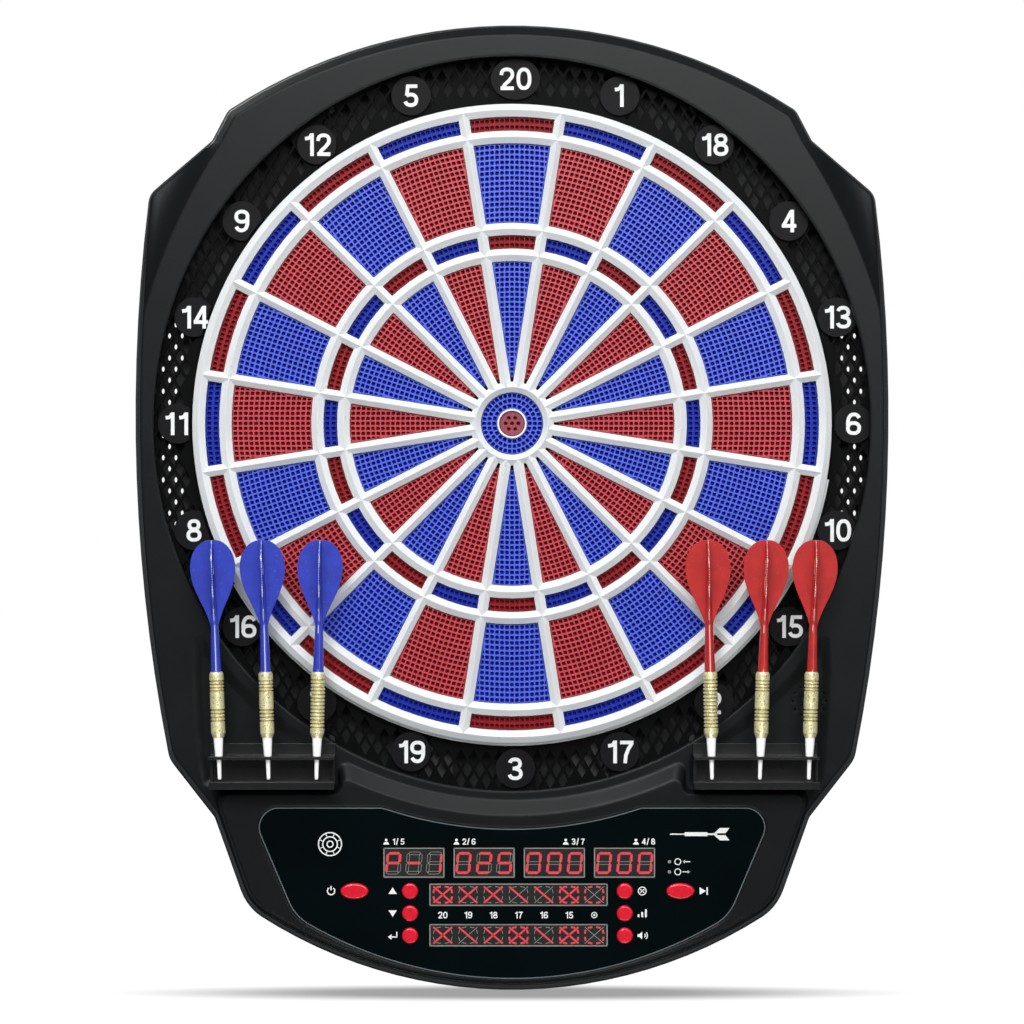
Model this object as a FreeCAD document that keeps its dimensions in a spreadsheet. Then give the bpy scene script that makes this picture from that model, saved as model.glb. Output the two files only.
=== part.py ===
import FreeCAD, Part
import math
import os

import Sketcher
from FreeCAD import Placement, Rotation, Vector

# Electronic dartboard: a two-shell housing, a segmented target in a moulded spider, a score console, and
# six soft-tip darts standing in two racks. Millimetres. +X is the player's right, +Z is up, the wall is the
# plane Y = 0, so the front faces -Y. The origin is on the wall straight behind the bull. Sizes named
# "..._front" or "..._back" are distances from the wall towards the player.

SIZES = {
    # target, by radius from the bull (the double ring's outer edge is the regulation 170 mm)
    "inner_bull_radius": 6.7, "collar_inner": 7.1, "collar_outer": 8.2, "outer_bull_inner": 8.5,
    "hub_inner": 17.2, "hub_outer": 23.2, "treble_wall_inner": 89.9, "treble_inner": 96.9,
    "treble_outer": 104.4, "treble_wall_outer": 111.2, "double_wall_inner": 155.2, "double_inner": 162.2,
    "double_outer": 170.0, "rim_outer": 177.1, "bar_width": 6.0, "wedge_tip": 25.6,
    "segment_gap": 0.35, "flange_reach": 1.5, "lip_outer": 178.9,
    # target, by distance from the wall
    "spider_back": 14.6, "lip_back": 18.3, "lip_front": 20.2, "spider_shoulder": 27.4, "spider_crest": 30.0,
    "single_front": 26.0, "narrow_front": 25.0, "segment_back": 12.4, "flange_front": 14.4,
    "board_radius": 177.1, "board_back": 4.0, "board_front": 9.5, "sensor_radius": 170.4,
    "membrane_front": 10.0, "mat_front": 11.2, "pillar_circle": 174.2, "pillar_radius": 2.7,
    # housing
    "shell_wall": 2.6, "cover_rim": 4.0, "cover_front": 9.6, "front_inset": 2.0, "slope_front": 20.0,
    "face_front": 28.0, "console_back": 26.0, "console_front": 33.0, "console_wall": 3.6,
    "opening_x": 198.5, "opening_z": 203.5, "collar_wall": 2.4, "collar_back": 20.8, "boss_radius": 3.6,
    "cover_post": 4.4, "stand_circle": 203.0, "stand_radius": 3.0, "seat_width": 3.0,
    "vent_half_width": 0.8, "vent_half_height": 1.45, "vent_half_angle": 17.0,
    "vent_inner": 186.8,
    "grille_radius": 0.6, "grille_pitch": 4.5, "pocket_outer": 15.2, "pocket_inner": 13.8,
    "pocket_back": 19.0,
    # catch ring and its number discs
    "lattice_back": 14.0, "lattice_front": 18.0, "lattice_inner": 178.3, "lattice_edge": 1.2,
    "lattice_tuck": 2.0, "border_inner": 2.6, "border_outer": 5.0, "cell_width": 7.1, "cell_height": 12.4,
    "rib_width": 1.5, "disc_front": 20.4, "disc_radius": 11.0, "disc_reach_x": 187.7, "disc_reach_z": 191.6,
    "disc_shift": 1.9, "disc_clearance": 179.2, "top_disc_half_width": 13.8, "top_disc_half_height": 11.6,
    # console
    "lens_back": 31.5, "lens_front": 33.2, "lens_floor": 2.0, "lens_border": 2.5, "lens_gap": 0.25,
    "window_gap": 0.2, "panel_shift": 3.0, "circuit_back": 20.5, "circuit_front": 22.1, "bay_half_width": 99.4,
    "bay_top": -231.0, "bay_bottom": -290.6, "post_spread": 102.5, "post_top": -229.0, "post_bottom": -272.0,
    "post_radius": 3.0, "score_width": 33.8, "score_height": 16.6, "score_pitch": 38.8, "score_shift": 1.0,
    "score_line": -242.8, "row_width": 98.6, "row_height": 12.4, "row_shift": 0.6, "row_line_top": -260.5,
    "row_line_bottom": -282.9, "display_front": 32.6, "light_column": 84.0, "light_radius": 0.9,
    "light_front": 33.5, "light_line_top": -242.2, "light_line_bottom": -247.8,
    "button_radius": 4.45, "oval_half_width": 7.75, "button_back": 27.2, "button_front": 35.2,
    "button_round": 1.2, "button_gap": 0.25, "button_flange": 1.0, "flange_back": 29.6, "flange_top": 31.2,
    "button_line": -258.4, "button_pitch": 12.3, "near_column": 59.3, "far_column": 90.0,
    "switch_half": 3.0, "switch_height": 2.6, "plunger_radius": 1.7, "plunger_height": 3.6,
    # darts and racks
    "dart_front": 45.5, "dart_pitch": 26.9, "dart_middle": 134.2, "rack_inner": 97.6, "rack_outer": 166.5,
    "rack_top": -177.0, "rack_bottom": -201.2, "rack_back": 28.2, "rack_plate": 2.2, "rack_front": 50.0,
    "bar_top": -183.4, "bar_thick": 1.6, "shelf_thick": 3.0, "cheek_thick": 1.6, "cheek_reach": 9.0,
    "peg_radius": 2.8, "peg_line": -192.0, "peg_inner": 112.0, "peg_outer": 156.0, "rack_hole": 1.75,
    "shelf_lip": 0.9, "lip_thick": 1.4, "barrel_radius": 4.0, "barrel_length": 36.0, "collar_length": 10.4,
    "stem_length": 27.1, "flight_length": 72.4, "wing_half_width": 12.4, "wing_thick": 0.8,
}

SECTORS = 20
SECTOR_ANGLE = 360.0 / SECTORS
THROUGH = 1.0  # how far a cutter runs past the surface that it opens
ROOT = 0.5  # how far one piece of a solid runs into the next before they are joined
SLACK = 0.1  # the least space between parts that only rest together
SMALLEST_CORNER = 0.6
NO_LENGTH = 1e-6  # lengths under this are taken as nothing

document = FreeCAD.newDocument("Dartboard")


def make_sheet():
    """The spreadsheet that every sub-part reads."""
    sheet = document.addObject("Spreadsheet::Sheet", "Sizes")
    for row, (alias, value) in enumerate(SIZES.items(), start=1):
        sheet.set(f"A{row}", alias.replace("_", " "))
        sheet.set(f"B{row}", str(value))
        sheet.setAlias(f"B{row}", alias)
    document.recompute()
    return sheet


sheet = make_sheet()


def size(alias):
    return float(sheet.get(alias))


# ---------------------------------------------------------------- geometry helpers

def at(x, z, forward):
    """A point given as seen by the player, and its distance from the wall."""
    return Vector(x, -forward, z)


def polar(radius, degrees, forward):
    """A point at a clock angle round the bull, clockwise from the top."""
    angle = math.radians(degrees)
    return at(radius * math.sin(angle), radius * math.cos(angle), forward)


def prism(wires, back, front):
    """A plate from a plane wire drawn at forward = 0, or from a list of it and its holes."""
    wires = wires if isinstance(wires, list) else [wires]
    face = Part.makeFace(wires, "Part::FaceMakerBullseye")
    face.translate(Vector(0, -back, 0))
    return face.extrude(Vector(0, back - front, 0))


def rod(x, z, radius, back, front):
    """A round bar that points at the player."""
    return Part.makeCylinder(radius, front - back, at(x, z, back), Vector(0, -1, 0))


def block(x_range, z_range, back, front):
    """A box given by its player-side extents."""
    (left, right), (low, high) = sorted(x_range), sorted(z_range)
    return Part.makeBox(right - left, front - back, high - low, Vector(left, -front, low))


def circle(radius, x=0.0, z=0.0):
    return Part.Wire(Part.Circle(at(x, z, 0), Vector(0, -1, 0), radius).toShape())


def ellipse(half_width, half_height, x=0.0, z=0.0):
    """An upright or lying ellipse round (x, z)."""
    major, minor = max(half_width, half_height), min(half_width, half_height)
    far = at(x + half_width, z, 0) if half_width > half_height else at(x, z + half_height, 0)
    near = at(x, z + half_height, 0) if half_width > half_height else at(x + half_width, z, 0)
    if major - minor < NO_LENGTH:
        return circle(major, x, z)
    return Part.Wire(Part.Ellipse(far, near, at(x, z, 0)).toShape())


def mirrored(points):
    """The right half of a symmetric outline, top to bottom, with its left half added."""
    left = []
    for index, (x, z, corner, _) in reversed(list(enumerate(points))):
        edge_before = points[index - 1][3] if index else points[-1][3]
        left.append((-x, z, corner, edge_before))
    return points + left


def outline(points, inset=0.0, forward=0.0):
    """A smooth closed wire through corners (x, z, corner radius, radius of the edge to the next corner),
    clockwise as the player sees them. An edge radius of 0 is straight, and a negative one bulges inwards."""
    count = len(points)
    start, end = [], []
    for i, (x, z, _, bend) in enumerate(points):
        other = points[(i + 1) % count]
        chord = math.hypot(other[0] - x, other[1] - z)
        heading = math.atan2(other[1] - z, other[0] - x)
        half = math.asin(chord / (2 * bend)) if bend else 0.0
        start.append(heading + half)
        end.append(heading - half)
    ins, outs, arcs = [], [], []
    for i, (x, z, corner, _) in enumerate(points):
        a, b = end[i - 1], start[i]
        turn = (a - b + math.pi) % (2 * math.pi) - math.pi
        normal = [(math.sin(t), -math.cos(t)) for t in (a, b)]
        share = inset / (1 + math.cos(turn))
        px = x + share * (normal[0][0] + normal[1][0])
        pz = z + share * (normal[0][1] + normal[1][1])
        radius = max(corner - inset, SMALLEST_CORNER) if turn > 0 else corner + inset
        reach = radius * math.tan(abs(turn) / 2)
        ins.append((px - reach * math.cos(a), pz - reach * math.sin(a)))
        outs.append((px + reach * math.cos(b), pz + reach * math.sin(b)))
        side = math.copysign(radius, turn)
        cx = ins[i][0] + side * normal[0][0]
        cz = ins[i][1] + side * normal[0][1]
        far = math.hypot(px - cx, pz - cz)
        arcs.append((cx + radius * (px - cx) / far, cz + radius * (pz - cz) / far))
    edges = []
    for i in range(count):
        edges.append(Part.Arc(at(*ins[i], forward), at(*arcs[i], forward), at(*outs[i], forward)).toShape())
        p, q = outs[i], ins[(i + 1) % count]
        bend = points[i][3]
        if bend:
            bend -= inset
            chord = math.hypot(q[0] - p[0], q[1] - p[1])
            sag = bend - math.copysign(math.sqrt(bend * bend - chord * chord / 4), bend)
            mx = (p[0] + q[0]) / 2 - sag * (q[1] - p[1]) / chord
            mz = (p[1] + q[1]) / 2 + sag * (q[0] - p[0]) / chord
            edges.append(Part.Arc(at(*p, forward), at(mx, mz, forward), at(*q, forward)).toShape())
        else:
            edges.append(Part.makeLine(at(*p, forward), at(*q, forward)))
    return Part.Wire(edges)


def lofted(*wires):
    """A solid with straight walls between outlines that have the same number of edges."""
    return Part.makeLoft(list(wires), True, True)


def join(shapes):
    """One solid from pieces that overlap."""
    return shapes[0].multiFuse(list(shapes[1:])).removeSplitter()


# ---------------------------------------------------------------- document helpers

def feature(name, shape, placement=None):
    """A sub-part whose shape is worked out in code from the sheet."""
    part = document.addObject("Part::Feature", name)
    part.Label = name
    part.Shape = shape
    part.Placement = placement or Placement()
    return part


def bind(part, **expressions):
    """Ties properties to the sheet: Length="disc_radius * 2" and the like."""
    for path, expression in expressions.items():
        words = [f"Sizes.{w}" if w in SIZES else w for w in expression.split()]
        part.setExpression(path.replace("__", "."), " ".join(words))


def drawn_circle(sketch, radius, x=0.0, z=0.0):
    """A circle in a sketch, its radius bound to the sheet."""
    alias_value = size(radius) if radius in SIZES else float(radius)
    index = sketch.addGeometry(Part.Circle(Vector(x, z, 0), Vector(0, 0, 1), alias_value), False)
    if x == 0.0 and z == 0.0:
        sketch.addConstraint(Sketcher.Constraint("Coincident", index, 3, -1, 1))
    else:
        sketch.addConstraint(Sketcher.Constraint("DistanceX", -1, 1, index, 3, x))
        sketch.addConstraint(Sketcher.Constraint("DistanceY", -1, 1, index, 3, z))
    constraint = sketch.addConstraint(Sketcher.Constraint("Radius", index, alias_value))
    bind(sketch, **{f"Constraints[{constraint}]": radius})


def front_sketch(body, name, forward):
    """A sketch parallel to the wall, at a distance bound to the sheet."""
    sketch = body.newObject("Sketcher::SketchObject", name)
    plane = next(f for f in body.Origin.OriginFeatures if f.Role == "XZ_Plane")
    sketch.AttachmentSupport = [(plane, "")]
    sketch.MapMode = "FlatFace"
    bind(sketch, AttachmentOffset__Base__z=forward)
    return sketch


def disc_body(name, back, front, circles):
    """A PartDesign plate bounded by circles: (radius, x, z) each, the outer one first."""
    body = document.addObject("PartDesign::Body", name)
    body.Label = name
    sketch = front_sketch(body, f"{name}_sketch", back)
    for radius, x, z in circles:
        drawn_circle(sketch, radius, x, z)
    pad = body.newObject("PartDesign::Pad", f"{name}_pad")
    pad.Profile = sketch
    bind(pad, Length=f"{front} - {back}")
    return body


def compound(name, parts):
    """Several separate solids that share a node."""
    whole = document.addObject("Part::Compound", name)
    whole.Label = name
    whole.Links = parts
    return whole


def bound_box(name, x, z, width, height, back, front):
    """A Part::Box centred on (x, z) as the player sees it, every extent bound to the sheet."""
    box = document.addObject("Part::Box", name)
    bind(box, Length=width, Height=height, Width=f"{front} - {back}",
         Placement__Base__x=f"{x} - ( {width} ) / 2", Placement__Base__z=f"{z} - ( {height} ) / 2",
         Placement__Base__y=f"0 - {front}")
    return box


# ---------------------------------------------------------------- target

def sector(inner, outer, side_gap, index):
    """The outline of one cell between two radial bars, `side_gap` from the bars' centre lines."""
    middle = index * SECTOR_ANGLE

    def corner(radius, side):
        bar = math.radians(middle + side * SECTOR_ANGLE / 2)
        along = math.sqrt(radius * radius - side_gap * side_gap)
        return at(along * math.sin(bar) - side * side_gap * math.cos(bar),
                  along * math.cos(bar) + side * side_gap * math.sin(bar), 0)

    near_left, far_left, far_right, near_right = (
        corner(inner, -1), corner(outer, -1), corner(outer, 1), corner(inner, 1))
    return Part.Wire([
        Part.makeLine(near_left, far_left),
        Part.Arc(far_left, polar(outer, middle, 0), far_right).toShape(),
        Part.makeLine(far_right, near_right),
        Part.Arc(near_right, polar(inner, middle, 0), near_left).toShape()])


def segment(inner, outer, front, index):
    """One pressed segment: its body fills a spider cell and its flange is trapped behind the spider."""
    gap, reach, half_bar = size("segment_gap"), size("flange_reach"), size("bar_width") / 2
    body = prism(sector(inner + gap, outer - gap, half_bar + gap, index), size("segment_back"), front)
    flange = prism(sector(inner - reach, outer + reach, half_bar - reach, index),
                   size("segment_back"), size("flange_front"))
    return join([body, flange])


def segment_groups():
    """The eight ring-and-colour groups, ten segments each: every other sector has the other colour."""
    rings = {
        "inner_single": ("wedge_tip", "treble_wall_inner", "single_front", ("blue", "red")),
        "treble": ("treble_inner", "treble_outer", "narrow_front", ("red", "blue")),
        "outer_single": ("treble_wall_outer", "double_wall_inner", "single_front", ("blue", "red")),
        "double": ("double_inner", "double_outer", "narrow_front", ("red", "blue")),
    }
    groups = []
    for ring, (inner, outer, front, colours) in rings.items():
        for first, colour in enumerate(colours):
            solids = [segment(size(inner), size(outer), size(front), k) for k in range(first, SECTORS, 2)]
            groups.append(feature(f"{ring}_segments_{colour}", Part.Compound(solids)))
    return groups


def bulls():
    """The outer bull with its flange, and the plain inner bull."""
    inner, outer = size("outer_bull_inner"), size("hub_inner")
    gap, reach = size("segment_gap"), size("flange_reach")
    ring = prism([circle(outer - gap), circle(inner)], size("segment_back"), size("single_front"))
    flange = prism([circle(outer + reach), circle(inner)], size("segment_back"), size("flange_front"))
    return [
        feature("outer_bull", join([ring, flange])),
        disc_body("inner_bull", "segment_back", "single_front", [("inner_bull_radius", 0.0, 0.0)]),
        disc_body("bull_collar", "mat_front", "spider_shoulder",
                  [("collar_outer", 0.0, 0.0), ("collar_inner", 0.0, 0.0)]),
    ]


def ridge(inner, outer):
    """The section of a spider wall, as (radius or offset, forward) points: straight sides and a crest."""
    back, shoulder, crest = size("spider_back"), size("spider_shoulder"), size("spider_crest")
    return [(inner, back), (inner, shoulder), ((inner + outer) / 2, crest), (outer, shoulder), (outer, back)]


def spider():
    """Rings and radial bars with ridged fronts, a lip, and the pillars that stand on the backing board."""
    solids = []
    rings = [("hub_inner", "hub_outer"), ("treble_wall_inner", "treble_inner"),
             ("treble_outer", "treble_wall_outer"), ("double_wall_inner", "double_inner"),
             ("double_outer", "rim_outer")]
    for inner, outer in rings:
        solids.append(swept(ridge(size(inner), size(outer)), 0.0, 360.0))
    half = size("bar_width") / 2
    start = (size("hub_inner") + size("hub_outer")) / 2 + ROOT
    end = (size("double_outer") + size("rim_outer")) / 2
    corners = [at(offset, start, forward) for offset, forward in ridge(-half, half)]
    bar = Part.Face(Part.makePolygon(corners + corners[:1])).extrude(Vector(0, 0, end - start))
    for k in range(SECTORS):
        turned_bar = bar.copy()
        turned_bar.rotate(Vector(0, 0, 0), Vector(0, 1, 0), (k + 0.5) * SECTOR_ANGLE)
        solids.append(turned_bar)
    solids.append(swept(lip_section(), *LIP_SPAN))
    back, pillar_top = size("board_front"), size("spider_back") + 4 * ROOT
    solids += [rod(x, z, size("pillar_radius"), back, pillar_top) for x, z in pillar_places()]
    pilots = [rod(x, z, BOARD_SCREW["pilot"], back - SLACK, size("spider_back") + THROUGH)
              for x, z in pillar_places()]
    return feature("spider", join(solids).cut(Part.Compound(pilots)))


def swept(section, first, last):
    """A section of (radius, forward) points turned round the bull between two clock angles."""
    corners = [at(radius, 0, forward) for radius, forward in section]
    face = Part.Face(Part.makePolygon(corners + corners[:1]))
    solid = face.revolve(Vector(0, 0, 0), Vector(0, 1, 0), last - first)
    solid.rotate(Vector(0, 0, 0), Vector(0, 1, 0), first - 90.0)
    return solid


def lip_section():
    """The thin step that runs along the lower half of the rim, in front of the catch ring."""
    inner, outer = size("rim_outer") - ROOT, size("lip_outer")
    return [(inner, size("lip_back")), (inner, size("lip_front")), (outer, size("lip_front")),
            (outer, size("lip_back"))]


def pillar_places():
    """Ten points behind the rim, at every other radial bar."""
    places = []
    for k in range(0, SECTORS, 2):
        point = polar(size("pillar_circle"), (k + 0.5) * SECTOR_ANGLE, 0)
        places.append((point.x, point.z))
    return places


LIP_SPAN = (100.0, 240.0)  # clock angles
TAIL_CENTRES = (-46.0, 46.0)
TAIL_WIDTH = 26.0
TAIL_TOP = -176.0
TAB_HEIGHT = 20.0
TAIL_BEND = -216.0
TAIL_END = (16.2, -229.0)  # forward, z
TAIL_THICK = 0.3


def target_layers():
    """Rubber mat, contact membrane with its two tail tabs, and the backing board with its screw holes."""
    mat = disc_body("rubber_mat", "membrane_front", "mat_front", [("sensor_radius", 0.0, 0.0)])
    back, front = size("board_front"), size("membrane_front")
    disc = prism(circle(size("sensor_radius")), back, front)
    tabs = [block((x - TAIL_WIDTH / 2, x + TAIL_WIDTH / 2), (TAIL_TOP, TAIL_TOP + TAB_HEIGHT), back, front)
            for x in TAIL_CENTRES]
    membrane = feature("contact_membrane", join([disc] + tabs))
    board = prism(circle(size("board_radius")), size("board_back"), size("board_front"))
    head, shank = BOARD_SCREW["head"] + SCREW_GAP, BOARD_SCREW["shank"] + SCREW_GAP
    seat = size("board_back") + BOARD_SCREW["sink"] + BOARD_SCREW["head_height"] + SLACK
    holes = []
    for x, z in pillar_places():
        holes.append(rod(x, z, head, size("board_back") - SLACK, seat))
        holes.append(rod(x, z, shank, seat - SLACK, size("board_front") + SLACK))
    return [mat, membrane, feature("backing_board", board.cut(Part.Compound(holes)))]


# ---------------------------------------------------------------- catch ring

def lattice_cells():
    """Centres of the staggered diamond cells whose holes lie whole between the target and the outer rim."""
    width, height, tuck = size("cell_width"), size("cell_height"), size("lattice_tuck")
    half_width, half_height = cell_half()
    inner = size("lattice_inner") + size("lattice_edge")
    outer_x, outer_z = size("opening_x") + tuck, size("opening_z") + tuck
    rows, columns = math.ceil(2 * outer_z / height), math.ceil(outer_x / width)
    cells = []
    for row in range(-rows, rows + 1):
        for column in range(-columns - 1, columns + 1):
            x = (column + (row % 2) / 2) * width
            z = row * height / 2
            tips = [(x - half_width, z), (x + half_width, z), (x, z - half_height), (x, z + half_height)]
            inside = all((a / outer_x) ** 2 + (b / outer_z) ** 2 < 1 for a, b in tips)
            if inside and all(math.hypot(a, b) > inner for a, b in tips):
                cells.append((x, z))
    return cells


def cell_half():
    """Half the width and height of a cell's hole, after its ribs have taken their share."""
    a, b = size("cell_width") / 2, size("cell_height") / 2
    share = 1 - size("rib_width") / 2 * math.hypot(a, b) / (a * b)
    return a * share, b * share


def catch_ring():
    """The diamond lattice round the target, with the raised border that the housing traps."""
    half_width, half_height = cell_half()
    border = [ellipse(size("opening_x") + size(reach), size("opening_z") + size(reach))
              for reach in ("border_outer", "border_inner")]
    holes = []
    for x, z in lattice_cells():
        tips = [at(x, z + half_height, 0), at(x + half_width, z, 0), at(x, z - half_height, 0),
                at(x - half_width, z, 0)]
        holes.append(Part.makePolygon(tips + tips[:1]))
    plate = prism([border[0], circle(size("lattice_inner"))] + holes,
                  size("lattice_back"), size("lattice_front"))
    rim = prism(border, size("lattice_front") - ROOT, size("collar_back") - SLACK)
    return feature("catch_ring", plate.fuse(rim))


def number_discs():
    """Twenty discs, one outside each sector, the top one wider. The spider's rim covers some inner edges."""
    back, front = size("lattice_front"), size("disc_front")
    clear = rod(0.0, 0.0, size("disc_clearance"), back - THROUGH, front + THROUGH)
    top = prism(ellipse(size("top_disc_half_width"), size("top_disc_half_height"),
                        size("disc_shift"), size("disc_reach_z")), back, front)
    discs = [top]
    for k in range(1, SECTORS):
        angle = math.radians(k * SECTOR_ANGLE)
        x = size("disc_shift") + size("disc_reach_x") * math.sin(angle)
        z = size("disc_reach_z") * math.cos(angle)
        discs.append(rod(x, z, size("disc_radius"), back, front))
    return feature("number_discs", Part.Compound([disc.cut(clear) for disc in discs]))


# ---------------------------------------------------------------- housing

ARCH_RADIUS = 288.0
SIDE_RADIUS = 980.0
FOOT_RADIUS = 260.0

# (x, z, corner radius, radius of the edge that follows): arch corner, notch, wing corner, lower side,
# console shoulder, console foot.
SILHOUETTE = mirrored([
    (158.5, 174.9, 9.0, 0.0), (167.3, 158.2, 5.0, 0.0), (202.3, 128.2, 11.0, SIDE_RADIUS),
    (191.1, -187.0, 16.0, 0.0), (165.9, -219.3, 6.0, 0.0), (148.1, -269.1, 30.0, FOOT_RADIUS)])
SILHOUETTE[-1] = SILHOUETTE[-1][:3] + (ARCH_RADIUS,)

# The edge of the raised face: its crest leaves the wings outside it and meets the sides low down.
CREST = mirrored([
    (154.0, 169.8, 8.0, 0.0), (161.0, 155.6, 7.0, 330.0), (204.6, 58.0, 30.0, SIDE_RADIUS),
    (187.6, -183.6, 15.0, 0.0), (163.2, -214.8, 7.0, 0.0), (144.9, -266.0, 27.0, 257.0)])
CREST[-1] = CREST[-1][:3] + (282.5,)

# The console stands in front of that face: lip end beside the rack, inner corner, shoulder, foot.
CONSOLE_BASE = mirrored([
    (97.0, -181.7, 4.5, 0.0), (97.0, -201.7, 5.0, 0.0), (167.4, -201.7, 5.0, 0.0),
    (145.7, -265.2, 27.5, 256.8)])
CONSOLE_BASE[-1] = CONSOLE_BASE[-1][:3] + (-206.0,)
CONSOLE_FACE = mirrored([
    (94.0, -194.8, 4.0, 0.0), (94.0, -204.9, 5.0, 0.0), (163.6, -204.9, 6.0, 0.0),
    (143.0, -263.8, 27.0, 255.6)])
CONSOLE_FACE[-1] = CONSOLE_FACE[-1][:3] + (-216.3,)

# The dark panel set into the console: dip end, upper corner, lower corner.
LENS = mirrored([
    (71.5, -212.3, 8.0, 0.0), (145.6, -212.3, 11.0, 0.0), (120.3, -272.0, 26.0, 225.0)])
LENS[-1] = LENS[-1][:3] + (-224.0,)

# The sunk flat corner under each side rail, drawn for the player's right. Its wall slopes: the floor is
# smaller than the outline by the first distance, and the edge in the face is larger by the second.
PANEL_SLOPE = 5.0
PANEL_FLARE = 0.4
PANEL_DEPTH = 1.4
CORNER_PANEL = [
    (175.6, -111.0, 3.0, 0.0), (177.0, -140.0, 60.0, 0.0), (173.6, -190.0, 20.0, 0.0),
    (170.5, -201.0, 3.0, 0.0), (98.4, -201.0, 3.0, 0.0), (98.4, -182.6, 3.0, -207.4)]

SCREW_PLACES = [(62.0, 202.6), (180.0, 113.0), (184.0, -118.0), (153.0, -225.0), (60.0, -297.4)]
HOUSING_SCREW = {"head": 2.9, "head_height": 2.0, "shank": 1.4, "pilot": 1.45, "length": 18.0, "sink": 0.6}
BOARD_SCREW = {"head": 2.1, "head_height": 1.6, "shank": 1.2, "pilot": 1.25, "length": 8.0, "sink": 0.2}
SCREW_GAP = 0.3  # added to a screw's radius where it passes freely
CROSS_RECESS = {"reach": 0.6, "half_width": 0.4, "depth": 0.9}  # the reach is a share of the head's radius
BOSS_HOLE_END = 21.0
POST_HOLE_END = 29.5
STAND_ANGLES = (30, 55, 125, 150, 210, 235, 305, 330)

# The speaker behind its grille: frame, basket and magnet, by radius and by (back, front).
SPEAKER = (164.7, -153.7)
SPEAKER_FRAME = (13.6, 21.2, 22.7)
SPEAKER_MAGNET = (7.0, 13.0, 17.4)
SPEAKER_BASKET = {"back_radius": 8.0, "front_radius": 12.4, "back": 17.0, "depth": 4.2}
GRILLE_HOLE = (15.0, 30.0)

# The power inlet in the right lower flank: its axis lies along X at this height and distance.
INLET_LINE = -245.0
INLET_FORWARD = 18.0
INLET_BLOCK = {"x": (143.0, 158.0), "half_height": 8.0}
INLET_RECESS = {"x": (151.0, 175.0), "half_height": 5.8, "forward": (11.6, 24.4)}
INLET_BODY = {"x": (130.0, 142.8), "half_height": 5.0, "forward": (12.6, 23.0)}
INLET_PARTS = {"hole": (4.6, 140.0, 154.0), "nose": (4.4, 142.6, 150.8), "bore": (3.1, 141.2, 151.2),
               "pin": (1.0, 141.0, 150.0)}  # radius, first x, last x
KEYHOLE = {"x": 110.0, "z": 157.0, "entry": 5.0, "slot": 2.6, "rise": 9.0}


def both_sides(places):
    return [(side * x, z) for side in (-1, 1) for x, z in places]


def flipped(points):
    """An outline drawn for the right, mirrored to the left and still clockwise."""
    half = mirrored(points)
    return half[len(points):]


def corner_panels(inset, forward):
    """The outlines of both sunk corners at one level."""
    return [outline(points, inset, forward) for points in (CORNER_PANEL, flipped(CORNER_PANEL))]


def grille_places():
    """The speaker's sound holes: one, then six, then twelve round it."""
    x, z = SPEAKER
    places = [(x, z)]
    for ring, count in ((1, 6), (2, 12)):
        for k in range(count):
            angle, reach = 2 * math.pi * k / count, ring * size("grille_pitch")
            places.append((x + reach * math.sin(angle), z + reach * math.cos(angle)))
    return places


def circuit_posts():
    """The four posts that carry the circuit board."""
    shift, spread = size("panel_shift"), size("post_spread")
    return [(shift + side * spread, z) for side in (-1, 1) for z in (size("post_top"), size("post_bottom"))]


def housing_outside():
    """The outer form: an upright rim, the sloped wings and sides, the raised face and the console."""
    inset, wall = size("front_inset"), size("cover_front")
    main = lofted(outline(SILHOUETTE, inset, wall), outline(SILHOUETTE, inset, size("slope_front")),
                  outline(CREST, 0.0, size("face_front")))
    console = lofted(outline(CONSOLE_BASE, 0.0, size("console_back")),
                     outline(CONSOLE_FACE, 0.0, size("console_front")))
    return main, console


def housing_inside():
    """The hollow behind the face and the deeper hollow in the console."""
    skin, wall = size("shell_wall"), size("console_wall")
    inset = size("front_inset") + skin
    main = lofted(outline(SILHOUETTE, inset, size("cover_front") - THROUGH),
                  outline(SILHOUETTE, inset, size("slope_front") - skin / 2),
                  outline(CREST, skin, size("face_front") - skin))
    console = lofted(outline(CONSOLE_BASE, wall, size("face_front") - 2 * skin),
                     outline(CONSOLE_FACE, wall, size("lens_back") - size("lens_floor")))
    return main, console


def housing_fittings():
    """What stands inside the front shell: collar, sunk floors, bosses, posts and the inlet's wall."""
    skin, face, cover_front = size("shell_wall"), size("face_front"), size("cover_front")
    half_x, half_z, collar = size("opening_x"), size("opening_z"), size("collar_wall")
    fittings = [prism([ellipse(half_x + collar, half_z + collar), ellipse(half_x, half_z)],
                      size("collar_back"), face - SLACK)]
    fittings += [prism(wire, face - 2 * skin, face - skin + SLACK) for wire in corner_panels(-skin, 0.0)]
    fittings += [rod(x, z, size("boss_radius"), cover_front, face - skin + SLACK)
                 for x, z in both_sides(SCREW_PLACES)]
    fittings += [rod(x, z, size("post_radius"), size("circuit_front"), size("lens_back") - ROOT)
                 for x, z in circuit_posts()]
    fittings.append(prism([circle(size("pocket_outer"), *SPEAKER), circle(size("pocket_inner"), *SPEAKER)],
                          size("pocket_back"), face - skin))
    fittings.append(block(INLET_BLOCK["x"], heights(INLET_BLOCK), cover_front,
                          size("console_front") - THROUGH))
    return fittings


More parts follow.
